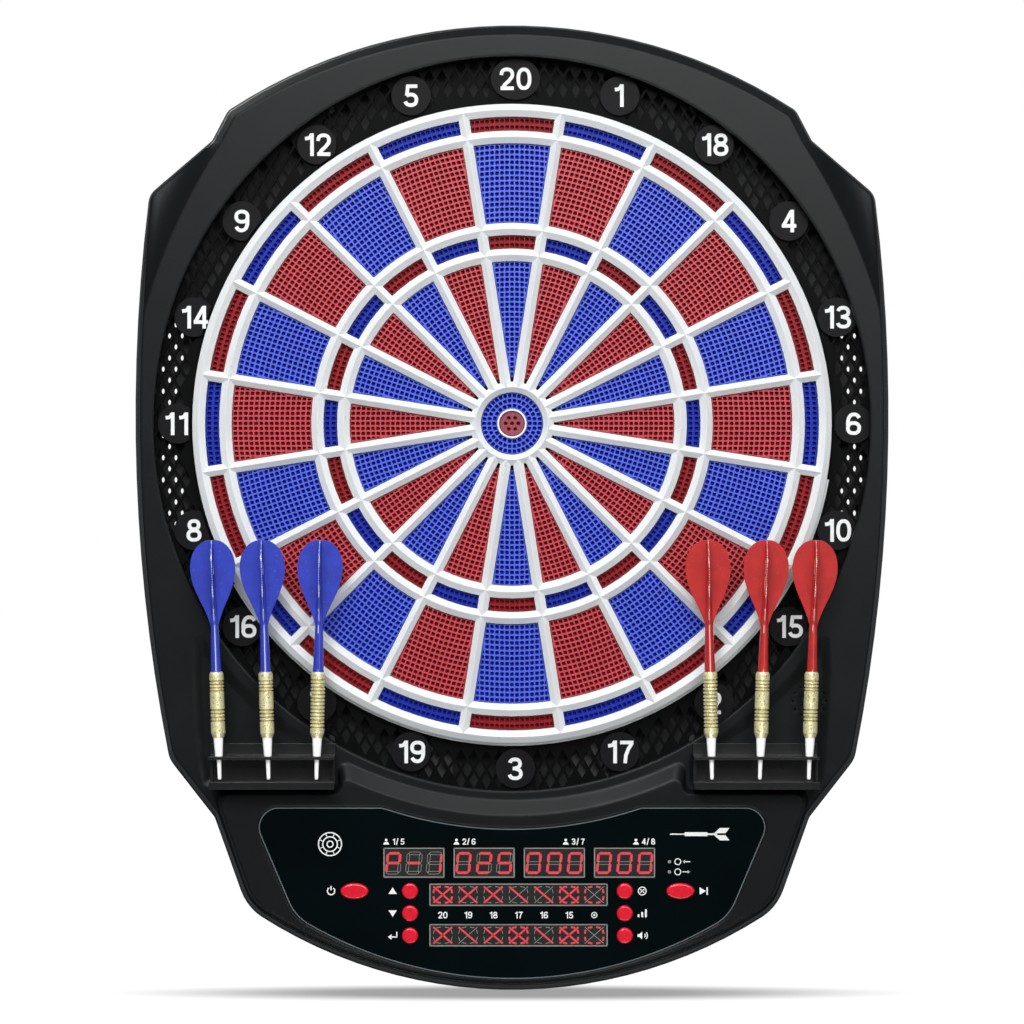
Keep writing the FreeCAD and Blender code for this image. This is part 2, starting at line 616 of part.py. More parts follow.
def housing_openings():
    """What is cut from the front shell: target opening, lens bed, display bay, sunk corners and holes."""
    skin, face, beyond = size("shell_wall"), size("face_front"), size("console_front") + THROUGH
    openings = [prism(ellipse(size("opening_x"), size("opening_z")), 0.0, beyond),
                prism(outline(LENS, -size("lens_gap")), size("lens_back"), beyond), display_bay(beyond)]
    floors, edges = corner_panels(PANEL_SLOPE, face - PANEL_DEPTH), corner_panels(-PANEL_FLARE, face + SLACK)
    openings += [lofted(deep, high) for deep, high in zip(floors, edges)]
    openings += [rod(x, z, HOUSING_SCREW["pilot"], size("cover_front") - THROUGH, BOSS_HOLE_END)
                 for x, z in both_sides(SCREW_PLACES)]
    openings += [rod(x, z, BOARD_SCREW["pilot"], size("circuit_front") - THROUGH, POST_HOLE_END)
                 for x, z in circuit_posts()]
    openings += [rod(x, z, size("grille_radius"), *GRILLE_HOLE) for x, z in grille_places()]
    openings.append(block(INLET_RECESS["x"], heights(INLET_RECESS), *INLET_RECESS["forward"]))
    openings.append(inlet_rod("hole"))
    return openings


def display_bay(front):
    """The space for the displays and buttons: a block that keeps inside a border which carries the lens."""
    shift, bay, back = size("panel_shift"), size("bay_half_width"), size("circuit_back")
    whole = block((shift - bay, shift + bay), (size("bay_bottom"), size("bay_top")), back, front)
    return whole.common(prism(outline(LENS, size("lens_border")), back, front))


def front_housing():
    """The front shell, with its opening, console recess, sunk corners, bosses and power inlet."""
    outside = join(list(housing_outside()))
    hollow_main, hollow_console = housing_inside()
    shell = outside.cut(hollow_main).cut(hollow_console)
    solid = shell.multiFuse([piece.common(outside) for piece in housing_fittings()])
    return feature("front_housing", solid.cut(Part.Compound(housing_openings())).removeSplitter())


def heights(piece):
    """The z range of one of the inlet's pieces."""
    return INLET_LINE - piece["half_height"], INLET_LINE + piece["half_height"]


def inlet_rod(name):
    """A round piece on the power inlet's axis."""
    radius, first, last = INLET_PARTS[name]
    return Part.makeCylinder(radius, last - first, at(first, INLET_LINE, INLET_FORWARD), Vector(1, 0, 0))


def keyhole(x, z):
    """A round entry for a screw head with a narrow slot above it for the shank."""
    top, span = z + KEYHOLE["rise"], (-THROUGH, size("shell_wall") + THROUGH)
    entry = rod(x, z, KEYHOLE["entry"], *span)
    slot = block((x - KEYHOLE["slot"], x + KEYHOLE["slot"]), (z, top), *span)
    return [entry, slot, rod(x, top, KEYHOLE["slot"], *span)]


def cover_vents():
    """Upright oval vents behind the lattice at both sides, one for each diamond cell near the outer rim."""
    places = [(x, z) for x, z in lattice_cells() if math.hypot(x, z) > size("vent_inner")
              and abs(math.degrees(math.atan2(z, abs(x)))) < size("vent_half_angle")]
    wires = [ellipse(size("vent_half_width"), size("vent_half_height"), x, z) for x, z in places]
    return [prism(wire, -THROUGH, size("shell_wall") + THROUGH) for wire in wires]


def rear_cover():
    """The back shell: flat plate, rim, screw posts, the seat of the target and the wall keyholes."""
    skin, front, board = size("shell_wall"), size("cover_front"), size("board_radius")
    shell = prism(outline(SILHOUETTE), 0.0, front).cut(
        prism(outline(SILHOUETTE, size("cover_rim")), skin, front + THROUGH))
    added = [rod(x, z, size("cover_post"), skin - ROOT, front) for x, z in both_sides(SCREW_PLACES)]
    added.append(prism([circle(board), circle(board - size("seat_width"))], skin - ROOT, size("board_back")))
    for degrees in STAND_ANGLES:
        place = polar(size("stand_circle"), degrees, 0)
        added.append(rod(place.x, place.z, size("stand_radius"), skin - ROOT, size("lattice_back")))
    seat = HOUSING_SCREW["sink"] + HOUSING_SCREW["head_height"]
    removed = [rod(x, z, HOUSING_SCREW["shank"] + SCREW_GAP, -THROUGH, front + THROUGH)
               for x, z in both_sides(SCREW_PLACES)]
    removed += [rod(x, z, HOUSING_SCREW["head"] + SCREW_GAP, -THROUGH, seat)
                for x, z in both_sides(SCREW_PLACES)]
    removed += cover_vents()
    for side in (-1, 1):
        removed += keyhole(side * KEYHOLE["x"], KEYHOLE["z"])
    solid = shell.multiFuse(added).cut(Part.Compound(removed))
    return feature("rear_cover", solid.removeSplitter())


def screw(x, z, kind, head_back):
    """A pan-head screw driven towards the player, with a cross recess in its head."""
    top = head_back + kind["head_height"]
    body = rod(x, z, kind["head"], head_back, top).fuse(rod(x, z, kind["shank"], top, top + kind["length"]))
    reach, half = kind["head"] * CROSS_RECESS["reach"], CROSS_RECESS["half_width"]
    span = head_back - SLACK, head_back + CROSS_RECESS["depth"]
    cross = block((x - reach, x + reach), (z - half, z + half), *span)
    upright = block((x - half, x + half), (z - reach, z + reach), *span)
    return body.cut(cross.fuse(upright)).removeSplitter()


def fasteners():
    """The housing's long screws, and the short ones of the target and the circuit board."""
    long_ones = [screw(x, z, HOUSING_SCREW, HOUSING_SCREW["sink"]) for x, z in both_sides(SCREW_PLACES)]
    head_back = size("board_back") + BOARD_SCREW["sink"]
    short_ones = [screw(x, z, BOARD_SCREW, head_back) for x, z in pillar_places()]
    head_back = size("circuit_back") - BOARD_SCREW["head_height"]
    short_ones += [screw(x, z, BOARD_SCREW, head_back) for x, z in circuit_posts()]
    return [feature("housing_screws", Part.Compound(long_ones)),
            feature("board_screws", Part.Compound(short_ones))]


# ---------------------------------------------------------------- console

def score_centres():
    middle = size("panel_shift") + size("score_shift")
    return [middle + (k - 1.5) * size("score_pitch") for k in range(4)]


def button_places():
    """Name, x, z and whether the button is oval."""
    shift, line, pitch = size("panel_shift"), size("button_line"), size("button_pitch")
    near, far = size("near_column"), size("far_column")
    names = (("up", "down", "enter"), ("miss", "handicap", "sound"))
    places = [("power", shift - far, line, True), ("next", shift + far, line, True)]
    for side, column in zip((-1, 1), names):
        for row, name in enumerate(column):
            places.append((name, shift + side * near, line - row * pitch, False))
    return places


def button_wire(oval, x, z, reach=0.0):
    radius = size("button_radius") + reach
    return ellipse(size("oval_half_width") + reach, radius, x, z) if oval else circle(radius, x, z)


def window(x, z, width, height):
    """A hole in the lens round a display module."""
    half_width, half_height = width / 2 + size("window_gap"), height / 2 + size("window_gap")
    return block((x - half_width, x + half_width), (z - half_height, z + half_height), *lens_cut())


def lens_cut():
    return size("lens_back") - THROUGH, size("lens_front") + THROUGH


def console_lens():
    """The dark panel, with windows for the displays and lights and holes for the buttons."""
    lens = prism(outline(LENS), size("lens_back"), size("lens_front"))
    holes = [window(x, size("score_line"), size("score_width"), size("score_height"))
             for x in score_centres()]
    row_x = size("panel_shift") + size("row_shift")
    holes += [window(row_x, size(line), size("row_width"), size("row_height"))
              for line in ("row_line_top", "row_line_bottom")]
    holes += [prism(button_wire(oval, x, z, size("button_gap")), *lens_cut())
              for _, x, z, oval in button_places()]
    holes += [rod(x, z, size("light_radius") + SLACK, *lens_cut()) for x, z in light_places()]
    return feature("console_lens", lens.cut(Part.Compound(holes)))


def light_places():
    """The two indicator lights beside the last score display."""
    x = size("panel_shift") + size("light_column")
    return [(x, size("light_line_top")), (x, size("light_line_bottom"))]


def displays():
    """Four score modules, two row modules and two indicator lights, all standing on the circuit board."""
    scores = [bound_box(f"score_module_{k}", f"panel_shift + score_shift + ( {k} - 1.5 ) * score_pitch",
                        "score_line", "score_width", "score_height", "circuit_front", "display_front")
              for k in range(4)]
    rows = [bound_box(f"row_module_{k}", "panel_shift + row_shift", line, "row_width", "row_height",
                      "circuit_front", "display_front")
            for k, line in enumerate(("row_line_top", "row_line_bottom"))]
    lights = [rod(x, z, size("light_radius"), size("circuit_front"), size("light_front"))
              for x, z in light_places()]
    return [compound("score_displays", scores), compound("row_displays", rows),
            feature("indicator_lights", Part.Compound(lights))]


def buttons():
    """Eight caps, each with a flange that the lens retains and a stem towards its switch."""
    made = []
    for name, x, z, oval in button_places():
        cap = prism(button_wire(oval, x, z), size("button_back"), size("button_front"))
        front = [edge for edge in cap.Edges if abs(edge.BoundBox.YMax + size("button_front")) < NO_LENGTH]
        cap = cap.makeFillet(size("button_round"), front)
        flange = prism(button_wire(oval, x, z, size("button_flange")),
                       size("flange_back"), size("flange_top"))
        made.append(feature(f"{name}_button", cap.fuse(flange).removeSplitter()))
    return made


# The circuit board's outline (about the console's middle line), its chips and the tails' connectors.
CIRCUIT_CORNERS = [(-106.5, -224.0), (106.5, -224.0), (106.5, -276.0), (85.0, -291.0), (-85.0, -291.0),
                   (-106.5, -276.0)]
CHIPS = [((-9.0, 9.0), (-266.0, -248.0), 18.9), ((30.0, 42.0), (-262.0, -254.0), 19.2),
         ((-48.0, -36.0), (-262.0, -254.0), 19.2)]
CONNECTOR = {"margin": 1.5, "z": (-233.0, -227.0), "back": 16.6}


def circuit():
    """The circuit board, its chips and connectors, and the eight push switches."""
    back, front = size("circuit_back"), size("circuit_front")
    points = [at(x + size("panel_shift"), z, 0) for x, z in CIRCUIT_CORNERS]
    board = prism(Part.makePolygon(points + points[:1]), back, front)
    holes = [rod(x, z, BOARD_SCREW["shank"] + SCREW_GAP, back - THROUGH, front + THROUGH)
             for x, z in circuit_posts()]
    chips = [block(x_range, z_range, chip_back, back) for x_range, z_range, chip_back in CHIPS]
    reach = TAIL_WIDTH / 2 + CONNECTOR["margin"]
    chips += [block((x - reach, x + reach), CONNECTOR["z"], CONNECTOR["back"], back) for x in TAIL_CENTRES]
    half, plunger = size("switch_half"), size("plunger_radius")
    switches = [block((x - half, x + half), (z - half, z + half), front, front + size("switch_height")).fuse(
        rod(x, z, plunger, front + ROOT, front + size("plunger_height"))) for _, x, z, _ in button_places()]
    return [feature("control_board", board.cut(Part.Compound(holes))),
            feature("chips_and_connectors", Part.Compound(chips)),
            feature("button_switches", Part.Compound(switches))]


def membrane_tails():
    """Two flat tails from the membrane's tabs down behind the circuit board to their connectors."""
    start = size("board_front") + SLACK
    route = [(start, TAIL_TOP), (start, TAIL_BEND), TAIL_END]
    far_side = [(forward + TAIL_THICK, z) for forward, z in reversed(route)]
    tails = []
    for x in TAIL_CENTRES:
        corners = [at(x - TAIL_WIDTH / 2, z, forward) for forward, z in route + far_side]
        face = Part.Face(Part.makePolygon(corners + corners[:1]))
        tails.append(face.extrude(Vector(TAIL_WIDTH, 0, 0)))
    return feature("membrane_tails", Part.Compound(tails))


def speaker():
    """A small loudspeaker: frame, cone basket and magnet, facing the grille."""
    basket = Part.makeCone(SPEAKER_BASKET["back_radius"], SPEAKER_BASKET["front_radius"],
                           SPEAKER_BASKET["depth"], at(*SPEAKER, SPEAKER_BASKET["back"]), Vector(0, -1, 0))
    return feature("speaker", join([rod(*SPEAKER, *SPEAKER_FRAME), basket, rod(*SPEAKER, *SPEAKER_MAGNET)]))


def power_inlet():
    """The low-voltage inlet: a body behind the wall, a round nose in it, a bore and its centre pin."""
    body = block(INLET_BODY["x"], heights(INLET_BODY), *INLET_BODY["forward"])
    socket = join([body, inlet_rod("nose")]).cut(inlet_rod("bore"))
    return feature("power_inlet", socket.fuse(inlet_rod("pin")).removeSplitter())


# The leads inside the housing, as points (x, z, forward) and a radius.
SPEAKER_LEAD = ([(157.5, -160.0, 15.0), (148.0, -168.0, 12.6), (136.0, -186.0, 12.0), (124.0, -206.0, 12.4),
                 (108.0, -222.0, 14.6), (100.5, -236.0, 19.6)], 0.8)
INLET_LEAD = ([(129.4, INLET_LINE, INLET_FORWARD), (120.0, -246.5, 15.8), (109.0, -244.0, 16.0),
               (101.0, -241.5, 19.6)], 0.9)
BEND_SHARE = 0.45  # how much of each straight run a bend may use


def lead(places, radius):
    """A round lead along straight runs joined by tangent arcs as large as the runs allow."""
    points = [at(*place) for place in places]
    edges, here = [], points[0]
    for before, corner, after in zip(points, points[1:], points[2:]):
        back, ahead = before - corner, after - corner
        half_turn = (math.pi - back.getAngle(ahead)) / 2
        reach = BEND_SHARE * min(back.Length, ahead.Length)
        start, end = corner + back.normalize() * reach, corner + ahead.normalize() * reach
        bisector = (back + ahead).normalize()
        bend = reach / math.tan(half_turn)
        middle = corner + bisector * (bend / math.cos(half_turn) - bend)
        edges += [Part.makeLine(here, start), Part.Arc(start, middle, end).toShape()]
        here = end
    edges.append(Part.makeLine(here, points[-1]))
    path = Part.Wire(edges)
    section = Part.Wire(Part.Circle(points[0], points[1] - points[0], radius).toShape())
    return path.makePipeShell([section], True, False)


def internal_leads():
    """The twin lead to the speaker and the one to the power inlet, both inside the housing."""
    return feature("internal_leads", Part.Compound([lead(*SPEAKER_LEAD), lead(*INLET_LEAD)]))


# ---------------------------------------------------------------- racks and darts

# Each rack leans its darts a little, because their points are loose in the holes.
DART_LEANS = {"blue": (-1.9, -1.7, 1.0), "red": (-1.1, 1.7, 1.7)}
RACK_SIDES = {"blue": -1, "red": 1}
RACK_SHIFTS = {"blue": 0.0, "red": 2.4}  # the right rack stands a little further out
DART_GAP = 0.15  # under each collar


def rack_place(colour, distance):
    """Where a distance from the board's middle falls on one rack's side."""
    return RACK_SIDES[colour] * distance + RACK_SHIFTS[colour]


def dart_foot(colour, number):
    """Where a dart's collar rests on its rack's bar, counted from the player's left."""
    offset = (number - 1) * size("dart_pitch")
    return rack_place(colour, size("dart_middle")) + offset, size("bar_top") + DART_GAP


def rack(colour, name):
    """A back plate on two pegs, a drilled bar, a shelf under it and two end cheeks."""
    inner, outer = rack_place(colour, size("rack_inner")), rack_place(colour, size("rack_outer"))
    back, front = size("rack_back"), size("rack_front")
    cheek = RACK_SIDES[colour] * size("cheek_thick")
    bottom, bar_top = size("rack_bottom"), size("bar_top")
    bar_bottom, shelf_top = bar_top - size("bar_thick"), bottom + size("shelf_thick")
    solids = [block((inner, outer), (bottom, size("rack_top")), back, back + size("rack_plate")),
              block((inner, outer), (bar_bottom, bar_top), back, front),
              block((inner, outer), (bottom, shelf_top), back, front),
              block((inner, outer), (bottom, shelf_top + size("shelf_lip")),
                    front - size("lip_thick"), front)]
    solids += [block((x, x + cheek), (bottom, bar_top), back, back + size("cheek_reach"))
               for x in (inner, outer - cheek)]
    peg_back = size("face_front") - PANEL_DEPTH
    solids += [rod(rack_place(colour, size(x)), size("peg_line"), size("peg_radius"), peg_back, back + ROOT)
               for x in ("peg_inner", "peg_outer")]
    feet = [dart_foot(colour, number)[0] for number in range(3)]
    holes = [rod_up(x, size("dart_front"), size("rack_hole"), bar_bottom - SLACK, bar_top + SLACK)
             for x in feet]
    return feature(name, join(solids).cut(Part.Compound(holes)))


# The dart's shapes. The tip is (radius, height) points below and at the collar; the barrel is (inset from
# its full radius, whether the height counts from its foot or its end, height); the wings are shares of their
# reach and height.
TIP_POINTS = [(0.7, -12.8), (1.0, -12.2), (1.25, 0.0), (2.05, 0.0)]
COLLAR_TOP_RADIUS = 2.65
BARREL_POINTS = [(1.1, True, 0.0), (0.5, True, 1.2), (0.0, True, 6.0), (0.0, False, -2.0), (0.7, False, 0.0)]
FLIGHT_STEM = {"foot": 3.0, "neck": 2.1, "end": 0.9, "below_top": 3.0}
WING_POINTS = [(0.13, -0.11), (0.42, 0.16), (0.86, 0.44), (1.0, 0.68), (0.8, 0.88), (0.42, 0.98), (0.0, 1.0)]


def rod_up(x, forward, radius, low, high):
    """An upright round bar."""
    return Part.makeCylinder(radius, high - low, at(x, low, forward), Vector(0, 0, 1))


def turned(name, profile):
    """A round piece about the +Z axis, from its (radius, height) points, as a PartDesign revolution."""
    body = document.addObject("PartDesign::Body", name)
    body.Label = name
    sketch = body.newObject("Sketcher::SketchObject", f"{name}_sketch")
    plane = next(f for f in body.Origin.OriginFeatures if f.Role == "XZ_Plane")
    sketch.AttachmentSupport = [(plane, "")]
    sketch.MapMode = "FlatFace"
    points = [(0.0, profile[0][1])] + list(profile) + [(0.0, profile[-1][1])]
    for (x0, z0), (x1, z1) in zip(points, points[1:] + points[:1]):
        sketch.addGeometry(Part.LineSegment(Vector(x0, z0, 0), Vector(x1, z1, 0)), False)
    count = len(points)
    for k in range(count):
        sketch.addConstraint(Sketcher.Constraint("Coincident", k, 2, (k + 1) % count, 1))
    revolution = body.newObject("PartDesign::Revolution", f"{name}_turn")
    revolution.Profile = sketch
    revolution.ReferenceAxis = (sketch, ["V_Axis"])
    revolution.Angle = 360.0
    return body


def wing_outline(stem_top, tip):
    """Half a teardrop flight and its mirror image, drawn in the XZ plane about the dart's axis."""
    reach, height = size("wing_half_width"), tip - stem_top
    right = [Vector(across * reach, 0, stem_top + along * height) for across, along in WING_POINTS]
    left = [Vector(-p.x, 0, p.z) for p in right]
    curves = []
    for points in (right, left):
        curve = Part.BSplineCurve()
        curve.interpolate(points)
        curves.append(curve.toShape())
    foot = Part.makeLine(left[0], right[0])
    return Part.Wire([curves[0], curves[1], foot])


def flight(name, base, top):
    """Four thin wings and the stem they are moulded with."""
    stem_top, rib_top, thick = base + size("stem_length"), top - FLIGHT_STEM["below_top"], size("wing_thick")
    stem = Part.makeCone(FLIGHT_STEM["foot"], FLIGHT_STEM["neck"], stem_top - base, Vector(0, 0, base))
    rib = Part.makeCone(FLIGHT_STEM["neck"], FLIGHT_STEM["end"], rib_top - stem_top, Vector(0, 0, stem_top))
    plate = Part.Face(wing_outline(stem_top, top)).extrude(Vector(0, thick, 0))
    plate.translate(Vector(0, -thick / 2, 0))
    crossed = plate.copy()
    crossed.rotate(Vector(0, 0, 0), Vector(0, 0, 1), 90)
    return feature(name, join([stem, rib, plate, crossed]))


def dart(colour, number):
    """One dart: a soft tip with its collar, a barrel, and the flight."""
    name = f"{colour}_dart_{number + 1}"
    x, z = dart_foot(colour, number)
    stance = Placement(at(x, z, size("dart_front")), Rotation(Vector(0, 1, 0), DART_LEANS[colour][number]))
    collar, radius = size("collar_length"), size("barrel_radius")
    end = collar + size("barrel_length")
    tip = turned(f"{name}_tip", TIP_POINTS + [(COLLAR_TOP_RADIUS, collar)])
    body = turned(f"{name}_barrel", [(radius - inset, (collar if from_foot else end) + height)
                                     for inset, from_foot, height in BARREL_POINTS])
    wings = flight(f"{name}_flight", end, end + size("flight_length"))
    for piece in (tip, body, wings):
        piece.Placement = stance
    return [tip, body, wings]


# ---------------------------------------------------------------- the whole

def build():
    parts = segment_groups() + bulls() + target_layers()
    parts += [spider(), catch_ring(), number_discs(), front_housing(), rear_cover()]
    parts += fasteners() + [console_lens()] + displays() + buttons() + circuit()
    parts += [membrane_tails(), speaker(), power_inlet(), internal_leads()]
    parts += [rack("blue", "left_dart_rack"), rack("red", "right_dart_rack")]
    for colour in ("blue", "red"):
        for number in range(3):
            parts += dart(colour, number)
    return parts


def check(parts):
    """Stops on a failed object or a bad shape, because a recompute doesn't."""
    for item in document.Objects:
        if {"Invalid", "Error"} & set(item.State):
            raise RuntimeError(f"{item.Name} failed: {item.State}")
    for part in parts:
        shape = part.Shape
        if shape.isNull() or not shape.isValid() or not shape.Solids:
            raise RuntimeError(f"{part.Label} has a bad shape")
        print(f"{part.Label:28s} solids {len(shape.Solids):3d} volume {shape.Volume:11.1f}")


sub_parts = build()
document.recompute()
check(sub_parts)
os.makedirs("parts", exist_ok=True)
for sub_part in sub_parts:
    sub_part.Shape.exportStep(f"parts/{sub_part.Label}.step")
print(len(sub_parts), "nodes")
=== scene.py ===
import bpy
import math
import numpy as np
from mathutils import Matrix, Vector
from mathutils.geometry import tessellate_polygon

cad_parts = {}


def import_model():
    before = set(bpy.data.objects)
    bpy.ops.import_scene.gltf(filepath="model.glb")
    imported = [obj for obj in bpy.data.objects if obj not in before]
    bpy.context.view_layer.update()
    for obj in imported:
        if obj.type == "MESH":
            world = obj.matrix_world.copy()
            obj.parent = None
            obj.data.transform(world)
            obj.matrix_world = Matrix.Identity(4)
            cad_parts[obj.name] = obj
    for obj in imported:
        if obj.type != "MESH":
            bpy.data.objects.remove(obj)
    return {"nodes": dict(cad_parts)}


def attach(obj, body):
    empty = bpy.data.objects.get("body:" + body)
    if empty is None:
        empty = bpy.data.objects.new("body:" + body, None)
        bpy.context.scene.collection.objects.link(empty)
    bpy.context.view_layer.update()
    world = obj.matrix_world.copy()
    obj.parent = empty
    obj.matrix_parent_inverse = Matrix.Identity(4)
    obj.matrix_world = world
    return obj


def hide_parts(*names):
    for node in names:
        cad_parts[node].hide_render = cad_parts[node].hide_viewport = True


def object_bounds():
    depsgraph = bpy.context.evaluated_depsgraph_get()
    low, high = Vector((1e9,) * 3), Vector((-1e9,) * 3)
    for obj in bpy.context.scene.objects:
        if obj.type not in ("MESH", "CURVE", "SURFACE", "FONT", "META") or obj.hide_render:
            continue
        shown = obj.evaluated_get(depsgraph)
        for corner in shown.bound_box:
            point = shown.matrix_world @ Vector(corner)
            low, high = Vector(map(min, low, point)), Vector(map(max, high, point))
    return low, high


# Looks for the electronic dartboard. Lengths are millimetres as the player sees them: x to the right,
# z up, and "forward" is the distance from the wall. Meshes are made in the shared frame's metres.

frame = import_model()
cad_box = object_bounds()
nodes = frame["nodes"]
MM = 0.001
SECTORS = 20
SECTOR = math.radians(18)
TAU = 2 * math.pi
WHITE = (1.0, 1.0, 1.0, 1.0)


# ---------------- reading the frame

def points_of(name):
    """A CAD node's vertices as (x, z, forward) in millimetres."""
    flat = np.empty(len(nodes[name].data.vertices) * 3)
    nodes[name].data.vertices.foreach_get("co", flat)
    x, y, z = flat.reshape(-1, 3).T / MM
    return np.stack([x, z, -y], axis=1)


def parts_of(name):
    """The boxes of a node's separate solids, as ((x0, z0, back), (x1, z1, front)), in order of x and z."""
    points = points_of(name)
    keys = [tuple(p) for p in np.round(points, 3)]
    leader = {}

    def find(key):
        while leader.setdefault(key, key) != key:
            leader[key] = leader[leader[key]]
            key = leader[key]
        return key

    for polygon in nodes[name].data.polygons:
        first = find(keys[polygon.vertices[0]])
        for v in polygon.vertices[1:]:
            leader[find(keys[v])] = first
    groups = {}
    for key, point in zip(keys, points):
        groups.setdefault(find(key), []).append(point)
    boxes = [(np.min(g, axis=0), np.max(g, axis=0)) for g in groups.values()]
    return sorted(boxes, key=lambda b: (round(b[0][0], 1), b[0][1]))


def middle(box):
    return (box[0] + box[1]) / 2


def node_box(name):
    points = points_of(name)
    return points.min(axis=0), points.max(axis=0)


# ---------------- mesh building

def area_of(polygon):
    return sum(a[0] * b[1] - b[0] * a[1] for a, b in zip(polygon, polygon[1:] + polygon[:1])) / 2


def circle(radius, count):
    """Points round a circle, anticlockwise from the right."""
    return [(radius * math.cos(TAU * i / count), radius * math.sin(TAU * i / count)) for i in range(count)]


def ribbon(points, width):
    """The outline of a stroke of even width along a line of points."""
    left, right = [], []
    for i, p in enumerate(points):
        a, b = points[max(i - 1, 0)], points[min(i + 1, len(points) - 1)]
        length = math.hypot(b[0] - a[0], b[1] - a[1])
        nx, nz = -(b[1] - a[1]) / length * width / 2, (b[0] - a[0]) / length * width / 2
        left.append((p[0] + nx, p[1] + nz))
        right.append((p[0] - nx, p[1] - nz))
    return left + right[::-1]


def new_object(name, data):
    made = bpy.data.objects.new(name, data)
    bpy.context.scene.collection.objects.link(made)
    return made


class Solid:
    """Vertices and faces of one piece, in millimetres as the player sees them."""

    def __init__(self):
        self.points, self.faces, self.kinds = [], [], []

    def add(self, point):
        self.points.append(point)
        return len(self.points) - 1

    def face(self, corners, kind=0):
        self.faces.append(tuple(corners))
        self.kinds.append(kind)

    def band(self, near, far, kind=0):
        """Quads between two loops. With anticlockwise loops, seen from the front, they face the middle."""
        for i in range(len(near)):
            j = (i + 1) % len(near)
            self.face((near[i], near[j], far[j], far[i]), kind)

    def plate(self, outline, back, front):
        """A closed plate from an outline of (x, z) points, in either direction."""
        outline = outline if area_of(outline) > 0 else outline[::-1]
        top = [self.add((x, z, front)) for x, z in outline]
        base = [self.add((x, z, back)) for x, z in outline]
        self.face(top)
        self.face(base[::-1])
        self.band(base, top)

    def line(self, a, b, width, back, front):
        """A straight bar of a given width between two (x, z) points."""
        self.plate(ribbon([a, b], width), back, front)

    def piece(self, name, materials, body, slot, replaces=(), smooth=None):
        """Makes the Blender object, rides it on its body, and hides the nodes it stands for; the slot is not
        used.
        """
        mesh = bpy.data.meshes.new(name)
        mesh.from_pydata([(x * MM, -forward * MM, z * MM) for x, z, forward in self.points], [], self.faces)
        for material in materials:
            mesh.materials.append(material)
        mesh.polygons.foreach_set("material_index", self.kinds)
        if smooth:
            mesh.shade_smooth()
            mesh.set_sharp_from_angle(angle=math.radians(smooth))
        mesh.validate()
        made = new_object(name, mesh)
        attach(made, body)
        if replaces:
            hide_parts(*replaces)


# ---------------- materials

def srgb(red, green, blue):
    """A colour from its familiar 0 to 255 values."""
    def linear(value):
        value /= 255
        return value / 12.92 if value <= 0.04045 else ((value + 0.055) / 1.055) ** 2.4
    return linear(red), linear(green), linear(blue), 1.0


def scaled(colour, factor):
    return tuple(min(c * factor, 1.0) for c in colour[:3]) + (1.0,)


